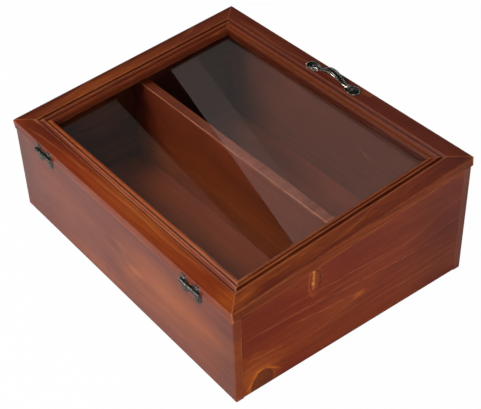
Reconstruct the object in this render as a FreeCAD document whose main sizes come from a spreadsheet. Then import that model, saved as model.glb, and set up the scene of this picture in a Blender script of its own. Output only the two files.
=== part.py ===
import FreeCAD, Part
import os
import Sketcher

# Tabletop display case: a sloping-topped pine box with two bays, closed by a
# glazed, moulded lid that turns on two small surface hinges.
#
# The origin is the middle of the underside. X runs along the case, +Y points
# from the low, hinged side to the high side that carries the handle, +Z is up.

Vector = FreeCAD.Vector
doc = FreeCAD.newDocument("display_case")

DIMENSIONS = {
    # the box
    "case_length": (400, "outside length"),
    "case_depth": (308, "outside depth, low side to high side"),
    "low_height": (107.5, "top of the low wall at its outer face"),
    "high_height": (137.5, "top of the high wall at its outer face"),
    "wall_thickness": (9.5, "all four boards"),
    "arris_round": (1.5, "rounding of the outer corners"),
    "floor_thickness": (5, "plywood floor, flush with the underside"),
    "floor_rebate": (5, "how far the floor is let into the boards"),
    "floor_play": (0.1, "gap round the floor"),
    "divider_thickness": (12, "long divider"),
    "divider_shift": (4, "divider's middle, from the case's middle to the high side"),
    "divider_top": (117, "top of the divider"),
    "divider_round": (1, "rounding of its top edges"),
    "housing_depth": (3, "groove in each end panel for the divider"),
    "housing_play": (0.1, "gap round the divider's ends"),
    # the lid
    "lid_gap": (0.4, "between the box and the closed lid"),
    "lid_thickness": (12, "rails"),
    "low_overhang": (0.3, "lid past the box at the hinged side"),
    "high_overhang": (1.2, "lid past the box at the high side"),
    "side_overhang": (0.8, "lid past the box at each end"),
    "rail_width": (33.5, "outer edge to sight edge"),
    "rail_flat": (19.6, "plain flat outside the moulding"),
    "rail_round": (1, "rounding of the rail's outer edges"),
    "step_drop": (1, "how far the flat's rounded inner edge falls"),
    "hollow_one_end": (23.2, "where the outer hollow meets the middle bead"),
    "hollow_one_rise": (1.2, "depth of the outer hollow"),
    "bead_base": (10.4, "height of the middle bead's feet"),
    "bead_one_end": (26.2, "inner foot of the middle bead"),
    "bead_one_rise": (1.3, "height of the middle bead"),
    "hollow_two_end": (28.8, "inner end of the inner hollow"),
    "hollow_two_rise": (0.9, "depth of the inner hollow"),
    "ogee_base": (9.2, "height where the inner bead starts"),
    "sight_height": (8.1, "height of the sight edge"),
    "bead_two_rise": (1.3, "height of the inner bead"),
    "rebate_width": (6, "glass rebate, from the sight edge outwards"),
    "rebate_height": (2.1, "glass rebate, from the underside"),
    "glass_thickness": (2, "pane"),
    "glass_play": (0.5, "gap round the pane"),
    "strip_width": (11.4, "glazing strip, under the rail and the edge of the pane"),
    "strip_height": (2.2, "thickness of the glazing strip"),
    "strip_round": (1.5, "rounded inner edge of the strip"),
    # the hinges
    "hinge_inset": (64, "hinge's middle to the end of the case"),
    "hinge_proud": (2.45, "hinge axis outside the low wall"),
    "barrel_radius": (2, "knuckles"),
    "barrel_length": (32, "all the knuckles"),
    "knuckle_gap": (0.2, "between neighbouring knuckles"),
    "hinge_pin_radius": (1.1, "pin"),
    "bore_play": (0.05, "pin to knuckle"),
    "leaf_thickness": (0.8, "sheet brass"),
    "lobe_radius": (4.8, "rounded lobes of a leaf"),
    "lobe_spacing": (21, "from lobe to lobe"),
    "case_lobe": (8.5, "axis to the lobes' middle, lower leaf"),
    "lid_lobe": (5.4, "axis to the lobes' middle, upper leaf"),
    "leaf_arch": (2.6, "rise of the arch between the lobes"),
    "leaf_notch": (1.7, "leaf's edge cleared from the other leaf's knuckles"),
    # screws and brads
    "screw_radius": (1, "shank"),
    "screw_length": (8, "below the head"),
    "head_radius": (1.9, "screw head"),
    "head_height": (0.8, "screw head"),
    "screw_play": (0.2, "screw to metal"),
    "wood_play": (0.1, "brad's hole over its wire"),
    "brad_wire": (1.2, "square wire of the brads"),
    "brad_length": (22, "brads of the box and the mitres"),
    "brad_set": (1, "brad heads punched below the surface"),
    "floor_brad_length": (15, "brads of the floor"),
    "pin_wire": (0.8, "square wire of the glazing strips' pins"),
    "strip_pin_length": (8, "pins of the glazing strips"),
    # the handle
    "handle_line": (12, "handle's middle line, from the lid's high edge"),
    "bow_reach": (21, "middle of the bow to each neck"),
    "bow_height": (9.7, "height of the bow's middle line"),
    "bow_width": (4.2, "half width of the bow"),
    "bow_depth": (2.1, "half thickness of the bow"),
    "bow_bevel": (1.1, "bevel along the bow's edges"),
    "neck_width": (3, "half width of the necks"),
    "shell_reach": (21, "neck to the tip of the shell"),
    "shell_radius": (6.6, "rim of the shell"),
    "shell_sweep": (200, "angle that the rim runs through"),
    "shell_waist": (1.2, "hollow of the shell's sides"),
    "scallop_rise": (0.5, "bulge of each scallop of the rim"),
    "shell_height": (2.2, "height of the shell"),
    "shell_bevel": (0.8, "bevel round its rim"),
    "screw_reach": (11, "neck to the screw"),
    "screw_seat": (1.4, "height of the seat under the screw's head"),
}

SCALLOPS = 7

sheet = doc.addObject("Spreadsheet::Sheet", "dims")
for row, (alias, (size, remark)) in enumerate(DIMENSIONS.items(), start=1):
    sheet.set(f"A{row}", str(size))
    sheet.setAlias(f"A{row}", alias)
    sheet.set(f"B{row}", remark)
doc.recompute()


# ---- sizes worked out from the sheet -------------------------------------


def dims(text):
    """Turn bare dimension names into references to the sheet."""
    words = []
    word = ""
    for letter in text + " ":
        if letter.isalpha() or letter == "_":
            word += letter
            continue
        words.append(f"dims.{word}" if word in DIMENSIONS else word)
        words.append(letter)
        word = ""
    return "".join(words).strip()


def value(text):
    """The present value of an expression, in millimetres or degrees."""
    result = sheet.evalExpression(dims(str(text)))
    return float(getattr(result, "Value", result))


SLOPE = "atan((high_height - low_height) / case_depth)"
LID_SPAN = f"(case_depth / cos({SLOPE}) + low_overhang + high_overhang)"
LID_LENGTH = "(case_length + 2 * side_overhang)"
LID_MIDDLE = f"({LID_SPAN} / 2 - low_overhang)"
AXIS_HEIGHT = "(low_height + lid_gap / 2)"
HIGH_EDGE = f"({LID_SPAN} - low_overhang)"
WALL_FACE = "(case_depth / 2 - wall_thickness)"
END_FACE = "(case_length / 2 - wall_thickness)"
FLOOR_LENGTH = "(case_length - 2 * (wall_thickness - floor_rebate))"
FLOOR_DEPTH = "(case_depth - 2 * (wall_thickness - floor_rebate))"

# the lid is modelled flat: its origin is the low wall's top outer edge, its
# Y runs up the slope and its Z is square to the glass
LID_PLACE = (
    "create(<<placement>>; "
    "create(<<vector>>; 0; -case_depth / 2; low_height + lid_gap); "
    f"create(<<rotation>>; create(<<vector>>; 1; 0; 0); {SLOPE}))"
)


def top_of_box(across):
    """Height of the sloping rim at a distance from the low wall's face."""
    return f"(low_height + ({across}) * tan({SLOPE}))"


# ---- small makers --------------------------------------------------------


def bind(thing, prop, text):
    thing.setExpression(prop, dims(str(text)))


def placement(at=("0", "0", "0"), axis=(0, 0, 1), angle="0"):
    """The expression of a placement."""
    return (
        f"create(<<placement>>; create(<<vector>>; {at[0]}; {at[1]}; {at[2]}); "
        f"create(<<rotation>>; create(<<vector>>; {axis[0]}; {axis[1]}; {axis[2]}); {angle}))"
    )


def place(thing, at=("0", "0", "0"), axis=(0, 0, 1), angle="0", within=None):
    """Bind a placement, in the lid's own frame when within is LID_PLACE."""
    own = placement(at, axis, angle)
    bind(thing, "Placement", f"{within} * {own}" if within else own)


def origin_plane(body, role):
    return next(item for item in body.Origin.OriginFeatures if item.Role == role)


def new_body(label):
    body = doc.addObject("PartDesign::Body", label)
    body.Label = label
    return body


def new_sketch(body, role, name, offset="0"):
    """A sketch on one of the body's own origin planes, moved along its normal."""
    sketch = body.newObject("Sketcher::SketchObject", f"{body.Label}_{name}")
    sketch.AttachmentSupport = [(origin_plane(body, role), "")]
    sketch.MapMode = "FlatFace"
    bind(sketch, "AttachmentOffset.Base.z", offset)
    doc.recompute()
    return sketch


def pin_point(sketch, geometry, point, across, up):
    """Dimension one point from the sketch's origin."""
    for kind, text in (("DistanceX", across), ("DistanceY", up)):
        limit = Sketcher.Constraint(kind, -1, 1, geometry, point, value(text))
        bind(sketch, f"Constraints[{sketch.addConstraint(limit)}]", text)


def draw_outline(sketch, start, path):
    """Draw a closed outline. Each step is (x, y) for a line or (x, y, rise)
    for an arc that bulges to the left of the way it is drawn."""
    here = start
    for step in path:
        across, up = step[0], step[1]
        first = Vector(value(here[0]), value(here[1]), 0)
        last = Vector(value(across), value(up), 0)
        if len(step) == 2:
            index = sketch.addGeometry(Part.LineSegment(first, last))
        else:
            rise = value(step[2])
            chord = last - first
            left = Vector(-chord.y, chord.x, 0).normalize()
            crown = (first + last) * 0.5 + left * rise
            index = sketch.addGeometry(Part.Arc(first, crown, last))
            span = f"hypot(({across}) - ({here[0]}); ({up}) - ({here[1]}))"
            radius = f"((({span}) / 2) ^ 2 + ({step[2]}) ^ 2) / (2 * abs({step[2]}))"
            limit = Sketcher.Constraint("Radius", index, value(radius))
            bind(sketch, f"Constraints[{sketch.addConstraint(limit)}]", radius)
        forward = (sketch.getPoint(index, 1) - first).Length < 1e-6
        pin_point(sketch, index, 1 if forward else 2, here[0], here[1])
        pin_point(sketch, index, 2 if forward else 1, across, up)
        here = (across, up)


def draw_circle(sketch, across, up, radius):
    centre = Vector(value(across), value(up), 0)
    index = sketch.addGeometry(Part.Circle(centre, Vector(0, 0, 1), value(radius)))
    limit = Sketcher.Constraint("Radius", index, value(radius))
    bind(sketch, f"Constraints[{sketch.addConstraint(limit)}]", radius)
    pin_point(sketch, index, 3, across, up)


def quarter(radius):
    """Rise of a quarter-round arc, which bulges to the left."""
    return f"({radius}) * (1 - sqrt(2) / 2)"


def rectangle(left, bottom, right, top):
    return (left, bottom), [(right, bottom), (right, top), (left, top), (left, bottom)]


def pad(body, sketch, length, both_ways=False, reverse=False):
    feature = body.newObject("PartDesign::Pad", f"{sketch.Name}_pad")
    feature.Profile = sketch
    feature.Midplane = both_ways
    feature.Reversed = reverse
    bind(feature, "Length", length)
    doc.recompute()
    return feature


def pocket(body, sketch, length, both_ways=False, reverse=False):
    """Cut a pocket and make sure that it took something away."""
    before = body.Shape.Volume
    feature = body.newObject("PartDesign::Pocket", f"{sketch.Name}_pocket")
    feature.Profile = sketch
    feature.Midplane = both_ways
    feature.Reversed = reverse
    bind(feature, "Length", length)
    doc.recompute()
    if body.Shape.Volume > before - 0.01:
        raise ValueError(f"{feature.Name} cuts nothing")
    return feature


def dress_edges(body, kind, size, wanted):
    """Fillet or chamfer the edges of the body's tip that the test picks out."""
    tip = body.Tip
    names = []
    for number, edge in enumerate(tip.Shape.Edges, start=1):
        if wanted(edge):
            names.append(f"Edge{number}")
    feature = body.newObject(f"PartDesign::{kind}", f"{body.Label}_{kind}")
    feature.Base = (tip, names)
    bind(feature, "Radius" if kind == "Fillet" else "Size", size)
    doc.recompute()


def cylinder(name, radius, length, at, axis=(0, 0, 1), angle="0"):
    rod = doc.addObject("Part::Cylinder", name)
    bind(rod, "Radius", radius)
    bind(rod, "Height", length)
    place(rod, at, axis, angle)
    return rod


def brads(label, size, length, places):
    """One compound of equal brads of square wire, each driven from its head
    at (x, y, z) the way that the axis and angle turn it."""
    items = []
    for number, (across, along, up, axis, angle) in enumerate(places):
        wire = doc.addObject("Part::Box", f"{label}_{number}")
        bind(wire, "Length", size)
        bind(wire, "Width", size)
        bind(wire, "Height", length)
        centred = placement((f"-({size}) / 2", f"-({size}) / 2", "0"))
        bind(wire, "Placement", f"{placement((across, along, up), axis, angle)} * {centred}")
        items.append(wire)
    return compound(label, items)


def compound(label, items):
    group = doc.addObject("Part::Compound", label)
    group.Label = label
    group.Links = items
    return group


def bored(label, solid, tools, within=None):
    """The solid with the tools' shapes taken out of it."""
    solid.Label = f"{label}_blank"
    doc.recompute()
    if len(tools) > 1:
        tool = compound(f"{label}_holes", tools)
    else:
        tool = tools[0]
    cut = doc.addObject("Part::Cut", label)
    cut.Label = label
    cut.Base = solid
    cut.Tool = tool
    if within:
        bind(cut, "Placement", within)
    doc.recompute()
    if cut.Shape.Volume > solid.Shape.Volume - 0.01:
        raise ValueError(f"{label} has no holes")
    return cut


# ---- brads and pins, and the holes that they fill ------------------------

ALONG_X = ((0, 1, 0), "90")
AGAINST_X = ((0, 1, 0), "-90")
ALONG_Y = ((1, 0, 0), "-90")
AGAINST_Y = ((1, 0, 0), "90")
UPWARDS = ((0, 0, 1), "0")


def corner_brad_places():
    """Two through each end of both long walls, punched below the face."""
    places = []
    for side in (-1, 1):
        for level in (0.25, 0.75):
            across = f"{side} * (case_length - wall_thickness) / 2"
            low_start = "-case_depth / 2 + brad_set"
            high_start = "case_depth / 2 - brad_set"
            places.append((across, low_start, f"low_height * {level}", *ALONG_Y))
            places.append((across, high_start, f"high_height * {level}", *AGAINST_Y))
    return places


def floor_brad_places():
    """Up through the plywood, half way into its rebate."""
    long_line = "(case_depth / 2 - wall_thickness + floor_rebate / 2)"
    end_line = "(case_length / 2 - wall_thickness + floor_rebate / 2)"
    places = []
    for side in (-1, 1):
        for step in (-0.4, 0, 0.4):
            places.append((f"case_length * {step}", f"{side} * {long_line}", "0", *UPWARDS))
        for step in (-0.25, 0.25):
            places.append((f"{side} * {end_line}", f"case_depth * {step}", "0", *UPWARDS))
    return places


def mitre_brad_places():
    """Two through each mitre, from the side rails' edges, in the lid's frame."""
    level = "lid_thickness / 2"
    places = []
    for inset in (7, 13):
        for start, turn in (
            (f"-{LID_LENGTH} / 2 + brad_set", ALONG_X),
            (f"{LID_LENGTH} / 2 - brad_set", AGAINST_X),
        ):
            places.append((start, f"{inset} - low_overhang", level, *turn))
            places.append((start, f"{HIGH_EDGE} - {inset}", level, *turn))
    return places


def strip_pin_places():
    """Up through the glazing strips into the rails, in the lid's frame, on a
    line between the strips' outer edges and the pane's rebate."""
    pin_line = "(rail_width - (strip_width + rebate_width) / 2)"
    half_length = f"({LID_LENGTH} / 2 - {pin_line})"
    half_span = f"({LID_SPAN} / 2 - {pin_line})"
    places = []
    for step in (-0.8, 0, 0.8):
        for side in (-1, 1):
            across = f"{LID_MIDDLE} + {side} * {half_span}"
            places.append((f"{step} * {half_length}", across, "-strip_height", *UPWARDS))
    for step in (-0.6, 0.6):
        for side in (-1, 1):
            across = f"{LID_MIDDLE} + {step} * {half_span}"
            places.append((f"{side} * {half_length}", across, "-strip_height", *UPWARDS))
    return places


BRAD_HOLE = "brad_wire + wood_play"
PIN_HOLE = "pin_wire + wood_play"

corner_brads = brads("corner_brads", "brad_wire", "brad_length", corner_brad_places())
corner_holes = brads("corner_holes", BRAD_HOLE, "brad_length", corner_brad_places())
floor_brads = brads("bottom_brads", "brad_wire", "floor_brad_length", floor_brad_places())
floor_holes = brads("bottom_holes", BRAD_HOLE, "floor_brad_length", floor_brad_places())
mitre_brads = brads("mitre_brads", "brad_wire", "brad_length", mitre_brad_places())
bind(mitre_brads, "Placement", LID_PLACE)
mitre_holes = brads("mitre_holes", BRAD_HOLE, "brad_length", mitre_brad_places())
strip_pins = brads("strip_pins", "pin_wire", "strip_pin_length", strip_pin_places())
bind(strip_pins, "Placement", LID_PLACE)
strip_holes = brads("strip_holes", PIN_HOLE, "strip_pin_length", strip_pin_places())


# ---- screws: they bite straight into the wood, which has no pilot holes ---

HOLE_IN_METAL = "screw_radius + screw_play"

# one small flat-headed wood screw: its head sits on Z = 0, its shank is below
screw = new_body("screw_master")
screw_sketch = new_sketch(screw, "XZ_Plane", "profile")
draw_outline(
    screw_sketch,
    ("0", "-screw_length"),
    [
        ("screw_radius", "-screw_length"),
        ("screw_radius", "0"),
        ("head_radius", "0"),
        ("head_radius", "head_height"),
        ("0", "head_height"),
        ("0", "-screw_length"),
    ],
)
screw_turn = screw.newObject("PartDesign::Revolution", "screw_turn")
screw_turn.Profile = screw_sketch
screw_turn.ReferenceAxis = (screw_sketch, ["V_Axis"])
screw_turn.Angle = 360
doc.recompute()


def screws(label, places, within=None):
    """A set of equal screws, each a link to the one above. A place is
    (x, y, z, axis, angle) of the seat under the head."""
    items = []
    for number, (across, along, up, axis, angle) in enumerate(places):
        link = doc.addObject("App::Link", f"{label}_{number}")
        link.LinkedObject = screw
        link.LinkTransform = False
        place(link, (across, along, up), axis, angle)
        items.append(link)
    group = compound(label, items)
    if within:
        bind(group, "Placement", within)
    return group


SCREW_COLUMNS = [
    f"{side} * (case_length / 2 - hinge_inset) + {end} * lobe_spacing / 2"
    for side in (-1, 1)
    for end in (-1, 1)
]
CASE_SCREW_PLACES = [
    (column, "-case_depth / 2 - leaf_thickness", f"{AXIS_HEIGHT} - case_lobe", *AGAINST_Y)
    for column in SCREW_COLUMNS
]
LID_AXIS_HEIGHT = f"(hinge_proud * sin({SLOPE}) - lid_gap / 2 * cos({SLOPE}))"
LID_SCREW_PLACES = [
    (column, "-low_overhang - leaf_thickness", f"{LID_AXIS_HEIGHT} + lid_lobe", *AGAINST_Y)
    for column in SCREW_COLUMNS
]
HANDLE_SCREW_PLACES = [
    (
        f"{side} * (bow_reach + screw_reach)",
        f"{HIGH_EDGE} - handle_line",
        "lid_thickness + screw_seat",
        *UPWARDS,
    )
    for side in (-1, 1)
]

case_screws = screws("case_leaf_screws", CASE_SCREW_PLACES)
lid_screws = screws("lid_leaf_screws", LID_SCREW_PLACES, LID_PLACE)
handle_screws = screws("handle_screws", HANDLE_SCREW_PLACES, LID_PLACE)


# ---- the box -------------------------------------------------------------


def near(first, second):
    return abs(first - second) < 1e-4


def long_wall(label, side):
    """A full-length board whose top follows the slope. side is -1 for the
    low wall and 1 for the high one."""
    body = new_body(label)
    profile = new_sketch(body, "YZ_Plane", "section")
    outer = f"{side} * case_depth / 2"
    inner = f"{side} * {WALL_FACE}"
    rim_outer = top_of_box(f"{outer} + case_depth / 2")
    rim_inner = top_of_box(f"{inner} + case_depth / 2")
    draw_outline(
        profile,
        (outer, "0"),
        [(inner, "0"), (inner, rim_inner), (outer, rim_outer), (outer, "0")],
    )
    pad(body, profile, "case_length", both_ways=True)
    rebate = new_sketch(body, "XY_Plane", "rebate")
    reach = f"{side} * ({WALL_FACE} + floor_rebate)"
    inside = f"{side} * case_depth / 4"
    draw_outline(rebate, *rectangle(f"-{FLOOR_LENGTH} / 2", inside, f"{FLOOR_LENGTH} / 2", reach))
    pocket(body, rebate, "floor_thickness", reverse=True)
    face = value(outer)
    ends = value("case_length / 2")

    def outer_corner(edge):
        box = edge.BoundBox
        upright = near(box.YMin, face) and near(box.YMax, face) and near(abs(box.XMin), ends)
        upright = upright and near(box.XMin, box.XMax)
        bottom = near(box.YMin, face) and near(box.YMax, face) and near(box.ZMax, 0)
        return upright or bottom

    dress_edges(body, "Fillet", "arris_round", outer_corner)
    return bored(label, body, [corner_holes, floor_holes])


def end_panel(label, side):
    """A board between the long walls, housed for the divider."""
    body = new_body(label)
    profile = new_sketch(body, "YZ_Plane", "section", f"{side} * {END_FACE}")
    low = f"-{WALL_FACE}"
    high = WALL_FACE
    rim_low = top_of_box("wall_thickness")
    rim_high = top_of_box("case_depth - wall_thickness")
    draw_outline(profile, (low, "0"), [(high, "0"), (high, rim_high), (low, rim_low), (low, "0")])
    pad(body, profile, "wall_thickness", reverse=side < 0)
    rebate = new_sketch(body, "XY_Plane", "rebate")
    inner = f"{side} * case_length / 4"
    outer = f"{side} * {FLOOR_LENGTH} / 2"
    draw_outline(rebate, *rectangle(inner, "-case_depth / 2", outer, "case_depth / 2"))
    pocket(body, rebate, "floor_thickness", reverse=True)
    housing = new_sketch(body, "YZ_Plane", "housing", f"{side} * ({END_FACE} + housing_depth)")
    half = "(divider_thickness / 2 + housing_play)"
    draw_outline(
        housing,
        *rectangle(f"divider_shift - {half}", "0", f"divider_shift + {half}", "divider_top + housing_play"),
    )
    pocket(body, housing, "wall_thickness", reverse=side < 0)
    face = value(f"{side} * case_length / 2")

    def bottom_edge(edge):
        box = edge.BoundBox
        return near(box.XMin, face) and near(box.XMax, face) and near(box.ZMax, 0)

    dress_edges(body, "Fillet", "arris_round", bottom_edge)
    return bored(label, body, [corner_holes, floor_holes])


def floor_panel():
    body = new_body("bottom_panel")
    outline = new_sketch(body, "XY_Plane", "outline")
    half_length = f"({FLOOR_LENGTH} / 2 - floor_play)"
    half_depth = f"({FLOOR_DEPTH} / 2 - floor_play)"
    draw_outline(outline, *rectangle(f"-{half_length}", f"-{half_depth}", half_length, half_depth))
    pad(body, outline, "floor_thickness")
    return bored("bottom_panel", body, [floor_holes])


def divider_board():
    """Stands on the floor. Its top edges are rounded over."""
    body = new_body("divider")
    section = new_sketch(body, "YZ_Plane", "section")
    left = "(divider_shift - divider_thickness / 2)"
    right = "(divider_shift + divider_thickness / 2)"
    shoulder = "divider_top - divider_round"
    round_over = quarter("divider_round")
    draw_outline(
        section,
        (left, "floor_thickness"),
        [
            (left, shoulder),
            (f"{left} + divider_round", "divider_top", round_over),
            (f"{right} - divider_round", "divider_top"),
            (right, shoulder, round_over),
            (right, "floor_thickness"),
            (left, "floor_thickness"),
        ],
    )
    pad(body, section, f"2 * ({END_FACE} + housing_depth - housing_play)", both_ways=True)
    return body


low_wall = long_wall("low_wall", -1)
high_wall = long_wall("high_wall", 1)
left_end_panel = end_panel("left_end_panel", -1)
right_end_panel = end_panel("right_end_panel", 1)
bottom_panel = floor_panel()
divider = divider_board()


# ---- the lid's frame, glass and glazing strips ---------------------------

# from the lid's outer edge to the back of the glass rebate, and to the
# outer edge of the strips that hold the pane up from below
REBATE_LINE = "rail_width - rebate_width"
STRIP_INSET = "rail_width - strip_width"


def rail_profile():
    """Outer edge at 0, sight edge at rail_width, underside at 0. The plain
    flat falls over a small round into a hollow, then a bead, a second hollow
    and a bigger bead that ends at the sight edge."""
    start = ("0", "0")
    path = [
        ("0", "lid_thickness - rail_round"),
        ("rail_round", "lid_thickness", quarter("rail_round")),
        ("rail_flat - step_drop", "lid_thickness"),
        ("rail_flat", "lid_thickness - step_drop", quarter("step_drop")),
        ("hollow_one_end", "bead_base", "-hollow_one_rise"),
        ("bead_one_end", "bead_base", "bead_one_rise"),
        ("hollow_two_end", "ogee_base", "-hollow_two_rise"),
        ("rail_width", "sight_height", "bead_two_rise"),
        ("rail_width", "rebate_height"),
        (REBATE_LINE, "rebate_height"),
        (REBATE_LINE, "0"),
        ("0", "0"),
    ]
    return start, path


def strip_profile():
    """Glazing strip: flat against the lid's underside, with its lower inner
    edge rounded."""
    start = ("0", "-strip_height")
    path = [
        ("0", "0"),
        ("strip_width", "0"),
        ("strip_width", "strip_round - strip_height"),
        ("strip_width - strip_round", "-strip_height", "-" + quarter("strip_round")),
        ("0", "-strip_height"),
    ]
    return start, path


SIDES = {
    # where the outer edge is, in the lid's frame, and how far it is turned
    "low": ("0", "-low_overhang", "0"),
    "high": ("0", HIGH_EDGE, "180"),
    "left": (f"-{LID_LENGTH} / 2", LID_MIDDLE, "-90"),
    "right": (f"{LID_LENGTH} / 2", LID_MIDDLE, "90"),
}


def mitred_length(side, kind, profile, width, inset):
    """A length of moulding for one side of the lid, mitred at both ends. Its
    own frame has the outer edge along X and Y pointing inwards."""
    across, along, turn = SIDES[side]
    full = LID_LENGTH if side in ("low", "high") else LID_SPAN
    length = f"({full} - 2 * ({inset}))"
    body = new_body(f"{side}_{kind}")
    section = new_sketch(body, "YZ_Plane", "section")
    draw_outline(section, *profile)
    pad(body, section, length, both_ways=True)
    mitres = new_sketch(body, "XY_Plane", "mitres")
    for end in (-1, 1):
        tip = f"{end} * {length} / 2"
        toe = f"{end} * ({length} / 2 - ({width}) - 1)"
        draw_outline(
            mitres,
            (f"{end} * ({length} / 2 + 1)", "-1"),
            [
                (toe, f"({width}) + 1"),
                (f"{tip} + {end} * 1", f"({width}) + 1"),
                (f"{end} * ({length} / 2 + 1)", "-1"),
            ],
        )
    pocket(body, mitres, "4 * lid_thickness", both_ways=True)
    inward = {"low": (0, 1), "high": (0, -1), "left": (1, 0), "right": (-1, 0)}[side]
    place(
        body,
        (f"{across} + {inward[0]} * ({inset})", f"{along} + {inward[1]} * ({inset})", "0"),
        (0, 0, 1),
        turn,
    )
    doc.recompute()
    return body


rails = []
strips = []
for side in SIDES:
    blank = mitred_length(side, "rail", rail_profile(), "rail_width", "0")
    rails.append(bored(f"{side}_rail", blank, [mitre_holes, strip_holes], LID_PLACE))
for side in SIDES:
    blank = mitred_length(side, "strip", strip_profile(), "strip_width", STRIP_INSET)
    strips.append(bored(f"{side}_strip", blank, [strip_holes], LID_PLACE))

glass_pane = doc.addObject("Part::Box", "glass_pane")
glass_pane.Label = "glass_pane"
GLASS_LENGTH = f"({LID_LENGTH} - 2 * ({REBATE_LINE} + glass_play))"
GLASS_SPAN = f"({LID_SPAN} - 2 * ({REBATE_LINE} + glass_play))"
bind(glass_pane, "Length", GLASS_LENGTH)
bind(glass_pane, "Width", GLASS_SPAN)
bind(glass_pane, "Height", "glass_thickness")
place(
    glass_pane,
    (f"-{GLASS_LENGTH} / 2", f"{LID_MIDDLE} - {GLASS_SPAN} / 2", "rebate_height - glass_thickness"),
    within=LID_PLACE,
)


# ---- the hinges ----------------------------------------------------------

# each leaf is modelled about the hinge axis: X along the pin, Y towards the
# wood. The case leaf has the two outer knuckles, the lid leaf the middle one
KNUCKLES = {"case": (0, 2), "lid": (1,)}
KNUCKLE_COUNT = 3


def knuckle_edge(number, edge):
    """X of a knuckle's start (edge 0) or end (edge 1)."""
    gap = "knuckle_gap / 2" if edge == 0 else "-knuckle_gap / 2"
    return f"(barrel_length * ({number + edge} / {KNUCKLE_COUNT} - 0.5) + {gap})"


def hinge_leaf(label, kind, at, angle, seat):
    """seat is the distance from the axis to the wood."""
    up = 1 if kind == "lid" else -1
    lobe = f"{up} * {kind}_lobe"
    foot = f"{up} * ({kind}_lobe + lobe_radius)"
    middle = "lobe_spacing / 2"
    edge = "(lobe_spacing / 2 + lobe_radius)"
    inner = "(lobe_spacing / 2 - lobe_radius)"
    side = -up
    body = new_body(label)
    outline = new_sketch(body, "XZ_Plane", "outline", f"-({seat})")
    curl = f"{side} * {quarter('lobe_radius')}"
    draw_outline(
        outline,
        (edge, "0"),
        [
            (edge, lobe),
            (middle, foot, curl),
            (inner, lobe, curl),
            (f"-{inner}", lobe, f"{-side} * leaf_arch"),
            (f"-{middle}", foot, curl),
            (f"-{edge}", lobe, curl),
            (f"-{edge}", "0"),
            (edge, "0"),
        ],
    )
    pad(body, outline, "leaf_thickness")
    notches = new_sketch(body, "XZ_Plane", "notches")
    others = KNUCKLES["case" if kind == "lid" else "lid"]
    for number in others:
        left = f"{knuckle_edge(number, 0)} - knuckle_gap"
        right = f"{knuckle_edge(number, 1)} + knuckle_gap"
        draw_outline(notches, *rectangle(left, f"-({up}) * 1", right, f"{up} * leaf_notch"))
    pocket(body, notches, "4 * hinge_proud", both_ways=True)
    holes = new_sketch(body, "XZ_Plane", "holes")
    for end in (-1, 1):
        draw_circle(holes, f"{end} * lobe_spacing / 2", lobe, HOLE_IN_METAL)
    pocket(body, holes, "4 * hinge_proud", both_ways=True)
    for number in KNUCKLES[kind]:
        ring = new_sketch(body, "YZ_Plane", f"knuckle_{number}", knuckle_edge(number, 0))
        draw_circle(ring, "0", "0", "barrel_radius")
        pad(body, ring, f"barrel_length / {KNUCKLE_COUNT} - knuckle_gap")
    bore = new_sketch(body, "YZ_Plane", "bore")
    draw_circle(bore, "0", "0", "hinge_pin_radius + bore_play")
    pocket(body, bore, "2 * barrel_length", both_ways=True)
    place(body, at, (1, 0, 0), angle)
    return body


leaves = []
hinge_pins = []
for name, side in (("left", -1), ("right", 1)):
    middle = f"{side} * (case_length / 2 - hinge_inset)"
    at = (middle, "-case_depth / 2 - hinge_proud", AXIS_HEIGHT)
    lid_seat = f"hinge_proud * cos({SLOPE}) + lid_gap / 2 * sin({SLOPE}) - low_overhang"
    leaves.append(hinge_leaf(f"{name}_case_leaf", "case", at, "0", "hinge_proud"))
    leaves.append(hinge_leaf(f"{name}_lid_leaf", "lid", at, SLOPE, lid_seat))
    start = (f"{middle} - barrel_length / 2", at[1], at[2])
    pin = cylinder(f"{name}_hinge_pin", "hinge_pin_radius", "barrel_length", start, *ALONG_X)
    pin.Label = f"{name}_hinge_pin"
    hinge_pins.append(pin)


# ---- the handle ----------------------------------------------------------

# the casting is modelled flat on the rail: X along the rail, Z off the wood,
# with the middle of the bow over the origin


def shell_outline(side):
    """A shell-shaped foot, drawn from its neck round the scalloped rim and
    back. side is -1 or 1."""
    neck_at = f"{side} * (bow_reach - 1)"
    centre = f"(bow_reach + shell_reach - shell_radius)"
    corners = []
    for step in range(SCALLOPS + 1):
        angle = f"({step / SCALLOPS - 0.5} * shell_sweep)"
        across = f"{side} * ({centre} + shell_radius * cos({angle}))"
        corners.append((across, f"shell_radius * sin({angle})"))
    bulge = f"{-side} * scallop_rise"
    waist = f"{side} * shell_waist"
    start = (neck_at, "-neck_width")
    path = [(*corners[0], waist)]
    path += [(*corner, bulge) for corner in corners[1:]]
    path += [(neck_at, "neck_width", waist), start]
    return start, path


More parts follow.
